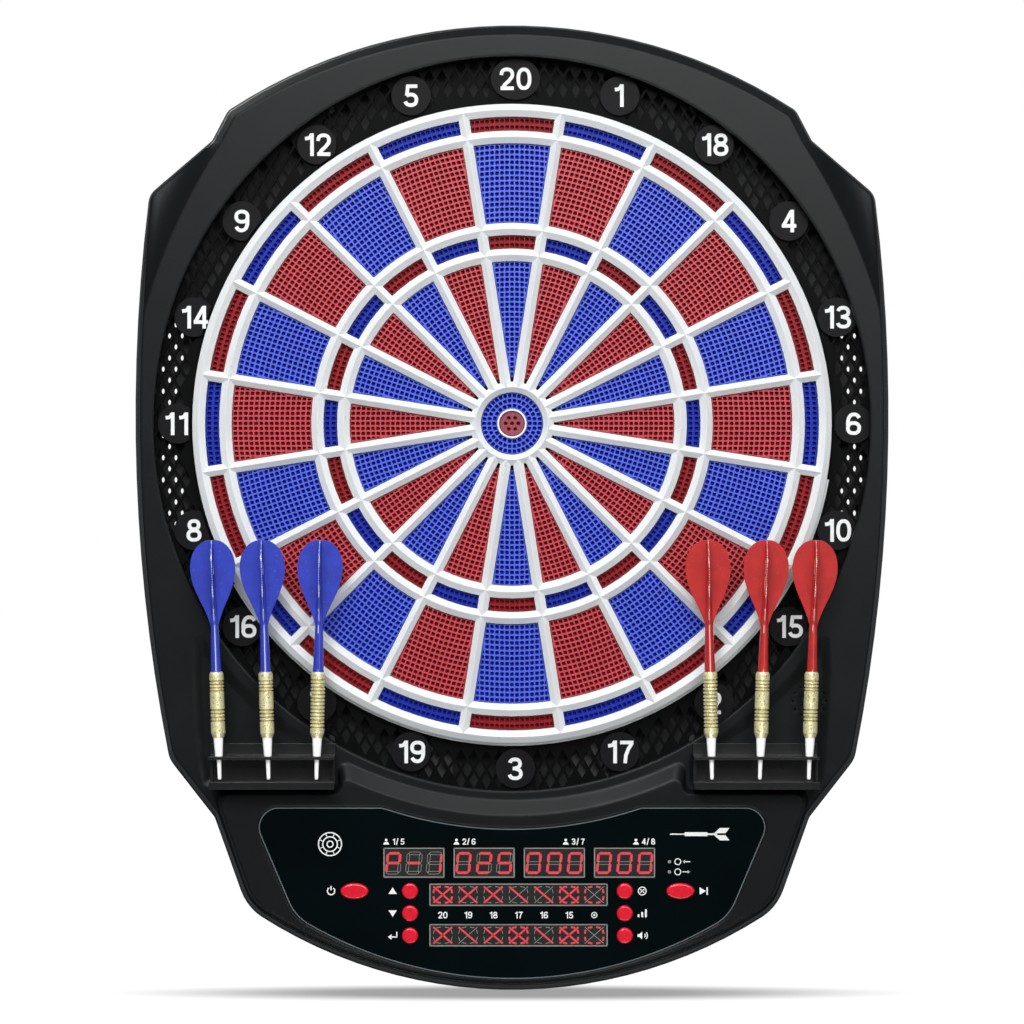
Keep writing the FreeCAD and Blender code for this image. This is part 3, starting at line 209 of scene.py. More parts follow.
class Shader:
    """A procedural material: cloudy colour, uneven roughness, fine grain, and rounded edges."""

    def __init__(self, name, colour, roughness, vary=0.12, patch=12.0, **sockets):
        self.material = bpy.data.materials.new(name)
        self.material.use_nodes = True
        self.tree = self.material.node_tree
        self.shader = self.tree.nodes["Principled BSDF"]
        self.coordinates = self.tree.nodes.new("ShaderNodeTexCoord").outputs["Object"]
        clouds = self.noise(patch, detail=5.0)
        ramp = self.node("ShaderNodeValToRGB", Fac=clouds)
        for element, position, change in zip(ramp.color_ramp.elements, (0.3, 0.7), (-vary, vary)):
            element.position, element.color = position, scaled(colour, 1 + change)
        self.colour = ramp.outputs["Color"]
        uneven = self.node("ShaderNodeMapRange", Value=self.noise(patch * 0.4, detail=6.0),
                           To_Min=roughness * 0.85, To_Max=min(roughness * 1.15, 1.0))
        self.link(uneven.outputs["Result"], self.shader.inputs["Roughness"])
        self.connect(self.shader, sockets)

    def node(self, kind, **sockets):
        return self.connect(self.tree.nodes.new(kind), sockets)

    def connect(self, node, sockets):
        """Sets or links a node's sockets, which are named with underscores for spaces."""
        for socket, source in sockets.items():
            self.link(source, node.inputs[socket.replace("_", " ")])
        return node

    def link(self, source, target):
        if isinstance(source, (int, float, tuple)):
            target.default_value = source
        else:
            self.tree.links.new(source, target)

    def noise(self, size, detail=3.0):
        """Noise whose features are about that many millimetres across."""
        return self.node("ShaderNodeTexNoise", Vector=self.coordinates, Scale=1.0 / (size * MM),
                         Detail=detail).outputs["Fac"]

    def specks(self, size, low, high, other):
        """Small marks of another colour, where fine noise passes a threshold."""
        spot = self.node("ShaderNodeMapRange", Value=self.noise(size, detail=2.0),
                         From_Min=low, From_Max=high)
        mixer = self.node("ShaderNodeMix")
        mixer.data_type = "RGBA"
        self.link(spot.outputs["Result"], mixer.inputs[0])
        self.link(self.colour, mixer.inputs[6])
        self.link(other, mixer.inputs[7])
        self.colour = mixer.outputs[2]
        return self

    def grain(self, size, depth, edge=0.0):
        """Fine relief of a given depth in millimetres, over edges rounded by that radius in millimetres."""
        bump = self.node("ShaderNodeBump", Height=self.noise(size), Distance=depth * MM, Strength=1.0)
        if edge:
            rounded = self.node("ShaderNodeBevel", Radius=edge * MM)
            rounded.samples = 6
            self.link(rounded.outputs["Normal"], bump.inputs["Normal"])
        self.link(bump.outputs["Normal"], self.shader.inputs["Normal"])
        return self

    def glow_outside(self, centre, reach, strengths):
        """Emission that fades to its second strength over an ellipse about a point: a painted soft shadow."""
        place = self.node("ShaderNodeMapping", Vector=self.coordinates,
                          Scale=(1 / reach[0], 1 / reach[1], 0.0),
                          Location=(-centre[0] / reach[0], -centre[1] / reach[1], 0.0))
        nearness = self.node("ShaderNodeTexGradient", Vector=place.outputs["Vector"])
        nearness.gradient_type = "SPHERICAL"
        fade = self.node("ShaderNodeMapRange", Value=nearness.outputs["Fac"], From_Max=SHADOW_CORE,
                         To_Min=strengths[0], To_Max=strengths[1])
        fade.interpolation_type = "SMOOTHSTEP"
        self.link(fade.outputs["Result"], self.shader.inputs["Emission Strength"])
        return self

    def done(self):
        self.link(self.colour, self.shader.inputs["Base Color"])
        return self.material


# Each finish, in millimetres: name, colour, roughness, and how much the colour varies over what size.
# Then its specks: size, the noise levels where they start and are full, and colour.
# Then its grain: size, depth and the radius of the edges. Then any other sockets.
FINISHES = {
    "housing": ("housing_satin_black", (19, 22, 23), 0.31, 0.1, 60.0,
        (3.0, 0.66, 0.95, (27, 30, 31)), (0.35, 0.012, 2.2), {"Specular_IOR_Level": 0.19}),
    "cover": ("cover_matt_black", (34, 36, 37), 0.58, 0.12, 40.0,
        (2.0, 0.64, 0.95, (48, 50, 51)), (0.45, 0.03, 0.5)),
    "lattice": ("lattice_black", (4, 5, 6), 0.45, 0.14, 14.0,
        (1.2, 0.68, 0.95, (16, 18, 18)), (0.4, 0.015, 0.4), {"Specular_IOR_Level": 0.06}),
    "disc": ("number_disc_black", (15, 15, 18), 0.45, 0.1, 8.0,
        (0.8, 0.7, 0.95, (25, 25, 28)), (0.3, 0.012, 0.4), {"Specular_IOR_Level": 0.12}),
    "print": ("print_white", (240, 242, 242), 0.5, 0.03, 3.0,
        (0.5, 0.66, 0.9, (205, 208, 210)), (0.2, 0.006)),
    "spider": ("spider_white_plastic", (238, 241, 242), 0.34, 0.025, 30.0,
        (2.2, 0.7, 0.95, (120, 120, 118)), (0.6, 0.008, 0.7)),
    "blue": ("segment_blue_plastic", (66, 92, 222), 0.34, 0.1, 9.0,
        (1.0, 0.62, 0.9, (136, 158, 250)), (0.3, 0.012, 0.25)),
    # The hole finishes are darker copies of the segment plastics. They are painted shade deep in each hole.
    "blue_deep": ("segment_blue_holes", (0, 22, 186), 0.6, 0.2, 4.0,
        (0.8, 0.62, 0.9, (0, 10, 120)), (0.3, 0.02)),
    "red": ("segment_red_plastic", (196, 56, 68), 0.34, 0.1, 9.0,
        (1.0, 0.62, 0.9, (232, 112, 124)), (0.3, 0.012, 0.25)),
    "red_deep": ("segment_red_holes", (158, 0, 8), 0.6, 0.2, 4.0,
        (0.8, 0.62, 0.9, (90, 0, 4)), (0.3, 0.02)),
    "blue_dark": ("narrow_ring_blue_plastic", (16, 42, 160), 0.4, 0.14, 6.0,
        (1.0, 0.62, 0.9, (44, 72, 200)), (0.3, 0.014, 0.15), {"Specular_IOR_Level": 0.2}),
    "red_dark": ("narrow_ring_red_plastic", (140, 16, 28), 0.4, 0.14, 6.0,
        (1.0, 0.62, 0.9, (178, 44, 54)), (0.3, 0.014, 0.15), {"Specular_IOR_Level": 0.2}),
    "bull_red": ("inner_bull_red_plastic", (146, 54, 70), 0.36, 0.12, 5.0,
        (0.9, 0.6, 0.9, (206, 128, 150)), (0.3, 0.014, 0.3)),
    "film": ("printed_film", (58, 60, 58), 0.45, 0.05, 12.0, (1.5, 0.6, 0.8, (84, 86, 84)), (0.5, 0.006)),
    "rubber": ("rubber_sheet", (58, 58, 60), 0.85, 0.12, 10.0, (0.8, 0.62, 0.9, (82, 82, 84)), (0.3, 0.04)),
    "wood": ("pressed_fibreboard", (150, 118, 82), 0.8, 0.16, 5.0,
        (0.7, 0.55, 0.8, (92, 66, 42)), (0.4, 0.05)),
    "lens": ("lens_gloss_dark", (1, 9, 12), 0.1, 0.2, 50.0,
        (4.0, 0.72, 0.98, (5, 15, 18)), (2.0, 0.001, 0.3), {"Specular_IOR_Level": 0.15}),
    # A pale band along the dark panel's edge. It is a painted highlight.
    "lens_line": ("lens_edge_line", (96, 106, 110), 0.3, 0.12, 20.0, None, (0.4, 0.004)),
    "display": ("display_face_grey", (32, 32, 31), 0.45, 0.07, 6.0,
        (0.9, 0.6, 0.9, (64, 64, 62)), (0.4, 0.008, 0.2), {"Specular_IOR_Level": 0.2}),
    "unlit": ("display_unlit_lines", (150, 150, 142), 0.45, 0.08, 2.0, None, (0.3, 0.004)),
    "lit": ("display_lit_red", (190, 56, 66), 0.35, 0.1, 1.2,
        (0.5, 0.6, 0.9, (255, 140, 150)), (0.3, 0.004),
        {"Emission_Color": srgb(255, 70, 84), "Emission_Strength": 0.22}),
    "led": ("indicator_clear", (150, 148, 146), 0.2, 0.12, 0.8, None, (0.3, 0.01), {"Coat_Weight": 0.5}),
    "circuit": ("solder_mask_green", (22, 92, 52), 0.38, 0.14, 3.0,
        (1.2, 0.58, 0.66, (52, 132, 84)), (0.4, 0.02)),
    "chip": ("chip_epoxy", (26, 26, 28), 0.6, 0.12, 3.0, (0.4, 0.62, 0.9, (46, 46, 48)), (0.2, 0.02, 0.15)),
    "speaker": ("speaker_painted_metal", (54, 54, 56), 0.4, 0.12, 5.0,
        (0.5, 0.62, 0.9, (78, 78, 80)), (0.3, 0.01, 0.2), {"Metallic": 0.6}),
    "insulation": ("lead_insulation", (150, 28, 26), 0.5, 0.1, 4.0, None, (0.4, 0.01)),
    "steel": ("zinc_steel", (176, 178, 182), 0.3, 0.1, 2.0,
        (0.4, 0.6, 0.9, (120, 122, 128)), (0.25, 0.01, 0.15), {"Metallic": 1.0}),
    "button": ("button_gloss_red", (226, 18, 46), 0.22, 0.08, 3.0,
        (0.6, 0.64, 0.9, (240, 60, 80)), (0.6, 0.006, 0.5), {"Coat_Weight": 0.35}),
    "rack": ("rack_gloss_black", (18, 19, 20), 0.26, 0.12, 18.0,
        (1.5, 0.68, 0.95, (44, 45, 46)), (0.8, 0.006, 0.35)),
    # White nylon with a faint white emission. This is a painted glow that makes the tips read as fully lit.
    "tip": ("nylon_white", (248, 248, 246), 0.36, 0.02, 2.5,
        (0.8, 0.66, 0.9, (232, 232, 228)), (0.3, 0.008, 0.2),
        {"Emission_Color": WHITE, "Emission_Strength": 0.24}),
    "brass": ("barrel_brass", (252, 244, 196), 0.36, 0.08, 2.0,
        (0.9, 0.55, 0.65, (188, 168, 98)), (0.4, 0.06, 0.1), {"Metallic": 0.42}),
    # Darker brass for the ring grooves. It is painted shade in the grooves.
    "brass_groove": ("barrel_brass_grooves", (206, 190, 132), 0.45, 0.2, 1.0,
        (0.6, 0.55, 0.7, (128, 112, 60)), (0.3, 0.02), {"Metallic": 0.55}),
    "flight_blue": ("flight_blue_plastic", (50, 66, 182), 0.24, 0.12, 9.0,
        (1.6, 0.64, 0.95, (96, 104, 222)), (0.9, 0.01, 0.35), {"Coat_Weight": 0.4}),
    "flight_red": ("flight_red_plastic", (188, 42, 40), 0.24, 0.12, 9.0,
        (1.6, 0.64, 0.95, (222, 74, 72)), (0.9, 0.01, 0.35), {"Coat_Weight": 0.4}),
    # Paler copies of the flight plastics. They are a painted highlight on the edge of each front wing.
    "spine_blue": ("flight_blue_spine", (198, 204, 250), 0.2, 0.1, 6.0,
        (0.9, 0.64, 0.95, (196, 202, 250)), (0.6, 0.008, 0.2), {"Coat_Weight": 0.5}),
    "spine_red": ("flight_red_spine", (250, 186, 180), 0.2, 0.1, 6.0,
        (0.9, 0.64, 0.95, (250, 200, 194)), (0.6, 0.008, 0.2), {"Coat_Weight": 0.5}),
}


def finish(name, colour, roughness, vary, patch, specks, grain, sockets=()):
    shader = Shader(name, srgb(*colour), roughness, vary, patch, **dict(sockets))
    if specks:
        *levels, other = specks
        shader.specks(*levels, srgb(*other))
    return shader.grain(*grain).done()


MAT = {look: finish(*facts) for look, facts in FINISHES.items()}

def named(end, start=""):
    return [name for name in nodes if name.startswith(start) and name.endswith(end)]


CAD_LOOKS = {
    "housing": ["front_housing"], "cover": ["rear_cover"], "lattice": ["catch_ring"],
    "disc": ["number_discs"], "spider": ["spider", "bull_collar"],
    "film": ["contact_membrane", "membrane_tails"], "rubber": ["rubber_mat"],
    "wood": ["backing_board"], "lens": ["console_lens"], "display": ["score_displays", "row_displays"],
    "led": ["indicator_lights"], "circuit": ["control_board"],
    "chip": ["chips_and_connectors", "button_switches", "power_inlet"],
    "speaker": ["speaker"], "insulation": ["internal_leads"],
    "steel": ["housing_screws", "board_screws"], "rack": ["left_dart_rack", "right_dart_rack"],
    "button": named("_button"), "tip": named("_tip"),
    "flight_blue": named("_flight", "blue"), "flight_red": named("_flight", "red"),
}
SPINE_HALF = 0.45


def dress_cad_nodes():
    """Gives each carried-over CAD node its finish."""
    for look, names in CAD_LOOKS.items():
        for name in names:
            materials = nodes[name].data.materials
            materials.clear()
            materials.append(MAT[look])


def light_spines():
    """Paints a highlight on the edge of each flight's front wing, where it catches the light. Those faces get
    a paler material.
    """
    for name in CAD_LOOKS["flight_blue"] + CAD_LOOKS["flight_red"]:
        foot, _, side, *_ = barrel_axis(name.removesuffix("_flight"))
        mesh, points = nodes[name].data, points_of(name)
        mesh.materials.append(MAT[f"spine_{name.split('_')[0]}"])
        for polygon in mesh.polygons:
            corners = points[list(polygon.vertices)] - foot
            thin = np.abs(corners @ side).max() < SPINE_HALF
            if thin and corners[:, 2].min() > SPINE_HALF and abs(polygon.normal.x) < SPINE_HALF:
                polygon.material_index = 1


# ---------------- perforated segments

HOLE_PITCH = 2.77
HOLE_HALF = 1.09
HOLE_CORNER = 0.34
BULL_WEB = 0.27
HOLE_DEPTH = 3.2
HOLE_TAPER = 0.95
HOLE_GAP = 0.3
EDGE_WEB = 0.38
CHAMFER = 0.12
LEAST_CELL = 1e-4
LEAST_HOLE = 0.7


def clip(polygon, a, b):
    """The part of an anticlockwise polygon on the left of the line from a to b."""
    kept = []
    for p, q in zip(polygon, polygon[1:] + polygon[:1]):
        sides = [(b[0] - a[0]) * (s[1] - a[1]) - (b[1] - a[1]) * (s[0] - a[0]) for s in (p, q)]
        if sides[0] >= -1e-9:
            kept.append(p)
        if (sides[0] > 1e-9) != (sides[1] > 1e-9) and abs(sides[0] - sides[1]) > 1e-12:
            t = sides[0] / (sides[0] - sides[1])
            if 1e-6 < t < 1 - 1e-6:
                kept.append((p[0] + t * (q[0] - p[0]), p[1] + t * (q[1] - p[1])))
    return kept


def between_sides(polygon, low, high):
    """The part of a polygon on the left of a sector's side, and on the right of the opposite side."""
    return clip(clip(polygon, low, high), (-high[0], high[1]), (-low[0], low[1]))


def hole_outline(x, y, half_x=HOLE_HALF, half_y=HOLE_HALF):
    """A square with cut corners, anticlockwise."""
    a, b = half_x - HOLE_CORNER, half_y - HOLE_CORNER
    return [(x + a, y - half_y), (x + half_x, y - b), (x + half_x, y + b), (x + a, y + half_y),
            (x - a, y + half_y), (x - half_x, y + b), (x - half_x, y - b), (x - a, y - half_y)]


class Web(Solid):
    """A perforated moulding: front cells with holes, worked in its own flat coordinates, then mapped."""

    def __init__(self, mapping, front, back):
        super().__init__()
        self.mapping, self.front, self.back = mapping, front, back
        self.shared = {}

    def corner(self, p):
        key = (round(p[0], 3), round(p[1], 3))
        if key not in self.shared:
            self.shared[key] = self.add((*self.mapping(*p), self.front))
        return self.shared[key]

    def cell(self, polygon, hole=None):
        """One cell of the front, whole or with a chamfered blind hole in it."""
        outer = [self.corner(p) for p in polygon]
        if hole:
            self.fill(outer, [self.hole_loops(hole)])
        else:
            self.face(outer)

    def hole_loops(self, hole):
        """A blind hole's rings of points: its edge, the foot of its chamfer, and its floor."""
        cx, cy = (sum(p[i] for p in hole) / len(hole) for i in (0, 1))
        shrink = 1 - CHAMFER / HOLE_HALF
        loops = []
        for scale, depth in ((1.0, 0.0), (shrink, CHAMFER), (shrink * HOLE_TAPER, HOLE_DEPTH)):
            ring = [(cx + (x - cx) * scale, cy + (y - cy) * scale) for x, y in hole]
            loops.append([self.add((*self.mapping(*p), self.front - depth)) for p in ring])
        return loops

    def fill(self, outer, holes):
        """The front between an outline and the holes in it, with each hole's walls and floor."""
        rings = [outer] + [hole[0] for hole in holes]
        ids = [i for ring in rings for i in ring]
        flat = [[Vector((*self.points[i][:2], 0)) for i in ring] for ring in rings]
        spots = [p for ring in flat for p in ring]
        for triangle in tessellate_polygon(flat):
            a, b, c = (spots[i] for i in triangle)
            if (b - a).cross(c - a).z < 0:
                triangle = triangle[::-1]
            self.face([ids[i] for i in triangle])
        for hole in holes:
            edge = [self.points[i][:2] for i in hole[0]]
            levels = hole if area_of(edge) > 0 else [loop[::-1] for loop in hole]
            self.band(levels[0], levels[1])
            # The walls below the chamfer and the floor take the second, darker material. It is painted shade
            # deep in the hole.
            self.band(levels[1], levels[2], 1)
            self.face(levels[2], 1)

    def close(self):
        """Walls from the open outline down to the back, and the back face."""
        for loop in open_loops(self.faces):
            deep = [self.add((*self.points[i][:2], self.back)) for i in loop]
            self.band(deep, loop)
            self.face(deep[::-1])


def open_loops(faces):
    """The closed loops of corners round faces, along the edges that only one face has."""
    edges = {edge for ring in faces for edge in zip(ring, ring[1:] + ring[:1])}
    following = {a: b for a, b in edges if (b, a) not in edges and a != b}
    loops = []
    while following:
        here = min(following)
        loops.append([])
        while here in following:
            loops[-1].append(here)
            here = following.pop(here)
    return loops


def ring_facts(name):
    """Radii, depths and the side's distance from the bar's middle, read from a ring's front faces."""
    points = points_of(name)
    front, back = points[:, 2].max(), points[:, 2].min()
    face = points[points[:, 2] > front - 0.01]
    radius = np.hypot(face[:, 0], face[:, 1])
    angle = np.arctan2(face[:, 0], face[:, 1])
    from_bar = np.abs((angle / SECTOR) % 1.0 - 0.5) * SECTOR
    return {"inner": radius.min(), "outer": radius.max(), "front": front, "back": back,
            "side": np.min(radius * np.sin(from_bar))}


def perforated_group(name, hue, plastic, first):
    """One ring-and-colour group: ten perforated segments with their hidden flanges."""
    facts = ring_facts(name)
    inner, outer, side = facts["inner"], facts["outer"], facts["side"]
    rows = max(2, round((outer - inner - 2 * HOLE_GAP) / HOLE_PITCH))
    step = (outer - inner) / rows
    radii = [inner + i * step for i in range(rows + 1)]

    def half_width(radius):
        return math.sin(SECTOR / 2) * math.sqrt(radius * radius - side * side) - side * math.cos(SECTOR / 2)

    columns = int(half_width(outer) / HOLE_PITCH + 0.5) + 1
    whole = Solid()
    for k in range(first, SECTORS, 2):
        def mapping(across, radius, turn=k * SECTOR):
            angle = turn + math.asin(across / radius)
            return radius * math.sin(angle), radius * math.cos(angle)

        web = Web(mapping, facts["front"], facts["back"])
        for low, high in zip(radii, radii[1:]):
            edge_low, edge_high = half_width(low), half_width(high)
            for column in range(-columns, columns + 1):
                left, right = (column - 0.5) * HOLE_PITCH, (column + 0.5) * HOLE_PITCH
                square = [(left, low), (right, low), (right, high), (left, high)]
                cell = between_sides(square, (edge_low, low), (edge_high, high))
                if len(cell) < 3 or area_of(cell) < LEAST_CELL:
                    continue
                half_y = min(HOLE_HALF, step / 2 - HOLE_GAP)
                hole = hole_outline(column * HOLE_PITCH, (low + high) / 2, half_y=half_y)
                hole = between_sides(hole, (edge_low - EDGE_WEB, low), (edge_high - EDGE_WEB, high))
                good = len(hole) > 3 and area_of(hole) > LEAST_HOLE
                web.cell(cell, hole if good else None)
        web.close()
        merge(whole, web)
        merge(whole, flange(facts, k))
    whole.piece(f"{name}_web", [plastic, MAT[f"{hue}_deep"]], name, f"segment_{hue}", replaces=[name])


def merge(whole, part):
    shift = len(whole.points)
    whole.points += part.points
    whole.faces += [tuple(i + shift for i in corners) for corners in part.faces]
    whole.kinds += part.kinds


FLANGE_REACH = 1.8
FLANGE_THICK = 2.0
FLANGE_STEPS = 6


def flange(facts, k):
    """The rim at a segment's back, which the spider traps."""
    made = Solid()
    inner, outer = facts["inner"] - FLANGE_REACH, facts["outer"] + FLANGE_REACH
    side = facts["side"] - FLANGE_REACH
    shares = [i / FLANGE_STEPS for i in range(-FLANGE_STEPS, FLANGE_STEPS + 1)]
    outline = []
    for radius, order in ((outer, shares), (inner, shares[::-1])):
        reach = SECTOR / 2 - math.asin(side / radius)
        angles = [k * SECTOR + reach * share for share in order]
        outline += [(radius * math.sin(angle), radius * math.cos(angle)) for angle in angles]
    made.plate(outline, facts["back"], facts["back"] + FLANGE_THICK)
    return made


BULL_HOLES = (22, 30, 38)
INNER_RIM_STEPS = 48
INNER_HOLE_RADIUS = 1.2
INNER_HOLE_CIRCLE = 3.5
INNER_HOLE_STEPS = 12


def perforated_bulls():
    """The outer bull's three rings of holes and the inner bull's seven."""
    facts = ring_facts("outer_bull")
    step = (facts["outer"] - facts["inner"]) / len(BULL_HOLES)
    angles = [[], *([TAU * i / n for i in range(n)] for n in BULL_HOLES), []]
    web = Web(lambda angle, radius: (radius * math.sin(angle), radius * math.cos(angle)),
              facts["front"], facts["back"])
    for ring, count in enumerate(BULL_HOLES):
        low, high = facts["inner"] + ring * step, facts["inner"] + (ring + 1) * step
        below, above = (sorted(set(angles[ring + 1] + next_ring)) for next_ring in angles[ring:ring + 3:2])
        for i in range(count):
            start, end = TAU * i / count, TAU * (i + 1) / count
            polar_cell(web, start, end, (low, high), (below, above))
    web.close()
    web.piece("outer_bull_web", [MAT["blue"], MAT["blue_deep"]], "outer_bull", "segment_blue",
              replaces=["outer_bull"])
    low, high = node_box("inner_bull")
    disc = Web(lambda x, y: (x, y), high[2], low[2])
    drilled_disc(disc, circle(high[0], INNER_RIM_STEPS), [(0.0, 0.0)] + circle(INNER_HOLE_CIRCLE, 6))
    disc.close()
    disc.piece("inner_bull_web", [MAT["bull_red"], MAT["red_deep"]], "inner_bull", "segment_red",
               replaces=["inner_bull"])


def polar_cell(web, start, end, radii, angle_sets):
    """A cell of a round web. Its corners take in those of the rings inside and outside it."""
    def between(angles):
        return [a for a in angles if start + 1e-6 < a < end - 1e-6]

    (low, high), (below, above) = radii, angle_sets
    polygon = [(end, low)] + [(a, low) for a in reversed(between(below))] + [(start, low)]
    polygon += [(start, high)] + [(a, high) for a in between(above)] + [(end, high)]
    centre, radius = (start + end) / 2, (low + high) / 2
    half = [side / 2 - BULL_WEB for side in ((end - start) * radius, high - low)]
    hole = [(centre + x / radius, radius + y) for x, y in hole_outline(0.0, 0.0, *half)]
    web.cell([(0.0 if abs(a - TAU) < 1e-6 else a, r) for a, r in polygon], hole)


def drilled_disc(web, rim, centres):
    """A disc with round blind holes."""
    outer = [web.corner(p) for p in rim]
    holes = []
    for x, y in centres:
        loops = []
        for scale, depth in ((1.0, 0.0), (0.84, CHAMFER), (0.7, HOLE_DEPTH)):
            ring = [(x + u * scale, y + v * scale) for u, v in circle(INNER_HOLE_RADIUS, INNER_HOLE_STEPS)]
            loops.append([web.add((*p, web.front - depth)) for p in ring])
        holes.append(loops)
    web.fill(outer, holes)


def perforated_target():
    for ring, hues, shade in (("double", ("red", "blue"), "_dark"), ("outer_single", ("blue", "red"), ""),
                              ("treble", ("red", "blue"), "_dark"), ("inner_single", ("blue", "red"), "")):
        for first, hue in enumerate(hues):
            perforated_group(f"{ring}_segments_{hue}", hue, MAT[hue + shade], first)
    perforated_bulls()


# ---------------- numerals and printed marks

NUMBERS = (20, 1, 18, 4, 13, 6, 10, 15, 2, 17, 3, 19, 7, 16, 8, 11, 14, 9, 12, 5)
NUMERAL_HEIGHT = 12.6
NUMERAL_DEPTH = 0.3
NUMERAL_SINK = 0.05
PRINT = 0.06
ROUNDNESS = 2 / 2.3


def squared(value, power):
    """Moves a sine or cosine outwards, so that a circle becomes a rounded square."""
    return math.copysign(abs(value) ** power, value)


def ellipse_run(x, z, half_x, half_z, start, end, steps=16):
    """Points along a slightly squared ellipse, anticlockwise in degrees from the right."""
    points = []
    for i in range(steps + 1):
        angle = math.radians(start + (end - start) * i / steps)
        points.append((x + half_x * squared(math.cos(angle), ROUNDNESS),
                       z + half_z * squared(math.sin(angle), ROUNDNESS)))
    return points


def round_run(*shape):
    """A whole squared ellipse, in two halves."""
    return [ellipse_run(*shape, 90, 270), ellipse_run(*shape, 270, 450)]


# Each numeral as the centre lines of its strokes, in a box one unit high.
STROKE_WIDTH = 0.16
GLYPH_WIDTH = 0.68
GLYPHS = {
    "0": round_run(0.34, 0.5, 0.25, 0.415),
    "1": [[(0.43, 0.0), (0.43, 1.0)], [(0.12, 0.765), (0.27, 0.785), (0.37, 0.86), (0.40, 0.95)]],
    "2": [ellipse_run(0.34, 0.69, 0.24, 0.225, 185, -25) + [(0.42, 0.40), (0.26, 0.26), (0.16, 0.10)],
          [(0.06, 0.083), (0.64, 0.083)]],
    "3": [ellipse_run(0.32, 0.725, 0.225, 0.19, 170, -88), ellipse_run(0.33, 0.285, 0.25, 0.205, 88, -170),
          [(0.22, 0.515), (0.36, 0.515)]],
    "4": [[(0.49, 0.0), (0.49, 1.0)], [(0.03, 0.285), (0.67, 0.285)], [(0.09, 0.27), (0.45, 0.93)]],
    "5": [[(0.15, 0.917), (0.62, 0.917)], [(0.205, 0.97), (0.155, 0.50)],
          ellipse_run(0.33, 0.315, 0.25, 0.235, 135, -165)],
    "6": round_run(0.345, 0.31, 0.25, 0.225) + [ellipse_run(0.365, 0.50, 0.27, 0.415, 35, 190)],
    "7": [[(0.05, 0.915), (0.64, 0.915)], [(0.57, 0.88), (0.42, 0.64), (0.31, 0.36), (0.27, 0.0)]],
    "8": round_run(0.34, 0.735, 0.205, 0.18) + round_run(0.34, 0.29, 0.25, 0.207),
    "/": [[(0.10, -0.05), (0.38, 1.05)]],
}
GLYPHS["9"] = [[(GLYPH_WIDTH - x, 1.0 - z) for x, z in line] for line in GLYPHS["6"]]
ADVANCE = 0.75
NARROW_ADVANCE = 0.60
LAYER_STEP = 0.03


def lettering(solid, text, centre, height, forward, depth, align="centre"):
    """Adds upright numerals of a height to a solid. Strokes that cross differ a hair in depth."""
    steps = [NARROW_ADVANCE if character == "1" else ADVANCE for character in text]
    width = (sum(steps[:-1]) + GLYPH_WIDTH) * height
    x = centre[0] + {"centre": -width / 2, "left": 0.0, "right": -width}[align]
    for character, step in zip(text, steps):
        for layer, line in enumerate(GLYPHS[character]):
            spots = [(x + u * height, centre[1] + (v - 0.5) * height) for u, v in line]
            front = forward + depth * (1 + LAYER_STEP * layer)
            solid.plate(ribbon(spots, STROKE_WIDTH * height), forward, front)
        x += step * height
    return width


def numerals():
    """The twenty numbers, raised a little on their discs."""
    solid = Solid()
    low, high = node_box("number_discs")
    bottom = min(parts_of("number_discs"), key=lambda box: box[0][1])
    radius = (bottom[1][0] - bottom[0][0]) / 2
    shift, reach_x, reach_z = (low[0] + high[0]) / 2, (high[0] - low[0]) / 2 - radius, -low[1] - radius
    for k, number in enumerate(NUMBERS):
        x, z = shift + reach_x * math.sin(k * SECTOR), reach_z * math.cos(k * SECTOR)
        lettering(solid, str(number), (x, z), NUMERAL_HEIGHT, high[2] - NUMERAL_SINK, NUMERAL_DEPTH)
    solid.piece("dial_numbers", [MAT["print"]], "board", "disc_black")


SEGMENT_SETS = {"0": "abcdef", "1": "bc", "2": "abged", "5": "afgcd", "P": "abefg", "-": "g", " ": ""}
DIGIT_WIDTH = 8.4
DIGIT_HEIGHT = 12.2
DIGIT_PITCH = 11.4
STROKE = 1.5
BAR_GAP = 0.14
SLANT = 0.09
LIT_LIFT = 0.10
FAINT_LIFT = 0.04
SINK = 0.02
SCORES = ("P-1", "025", "000", "000")


def bar_outline(a, b):
    """One bar of a digit. Its ends are pointed and stop just short of the two points."""
    dx, dz = b[0] - a[0], b[1] - a[1]
    length = math.hypot(dx, dz)
    dx, dz = dx / length, dz / length
    ax, az, bx, bz = a[0] + dx * BAR_GAP, a[1] + dz * BAR_GAP, b[0] - dx * BAR_GAP, b[1] - dz * BAR_GAP
    ux, uz = dx * STROKE / 2, dz * STROKE / 2
    return [(ax, az), (ax + ux + uz, az + uz - ux), (bx - ux + uz, bz - uz - ux),
            (bx, bz), (bx - ux - uz, bz - uz + ux), (ax + ux - uz, az + uz + ux)]


def digit_bars(x, z):
    """The seven bars of a slanted digit about its middle, by letter."""
    w, h = (DIGIT_WIDTH - STROKE) / 2, (DIGIT_HEIGHT - STROKE) / 2
    ends = {"a": ((-w, h), (w, h)), "b": ((w, h), (w, 0)), "c": ((w, 0), (w, -h)), "d": ((-w, -h), (w, -h)),
            "e": ((-w, 0), (-w, -h)), "f": ((-w, h), (-w, 0)), "g": ((-w, 0), (w, 0))}
    return {letter: [(x + p + q * SLANT, z + q) for p, q in bar_outline(*line)]
            for letter, line in ends.items()}


def outline_bars(solid, outline, width, face):
    for a, b in zip(outline, outline[1:] + outline[:1]):
        solid.line(a, b, width, face - SINK, face + FAINT_LIFT)


BORDER_INSET = 0.35
BORDER_WIDTH = 0.55
FAINT_WIDTH = 0.22


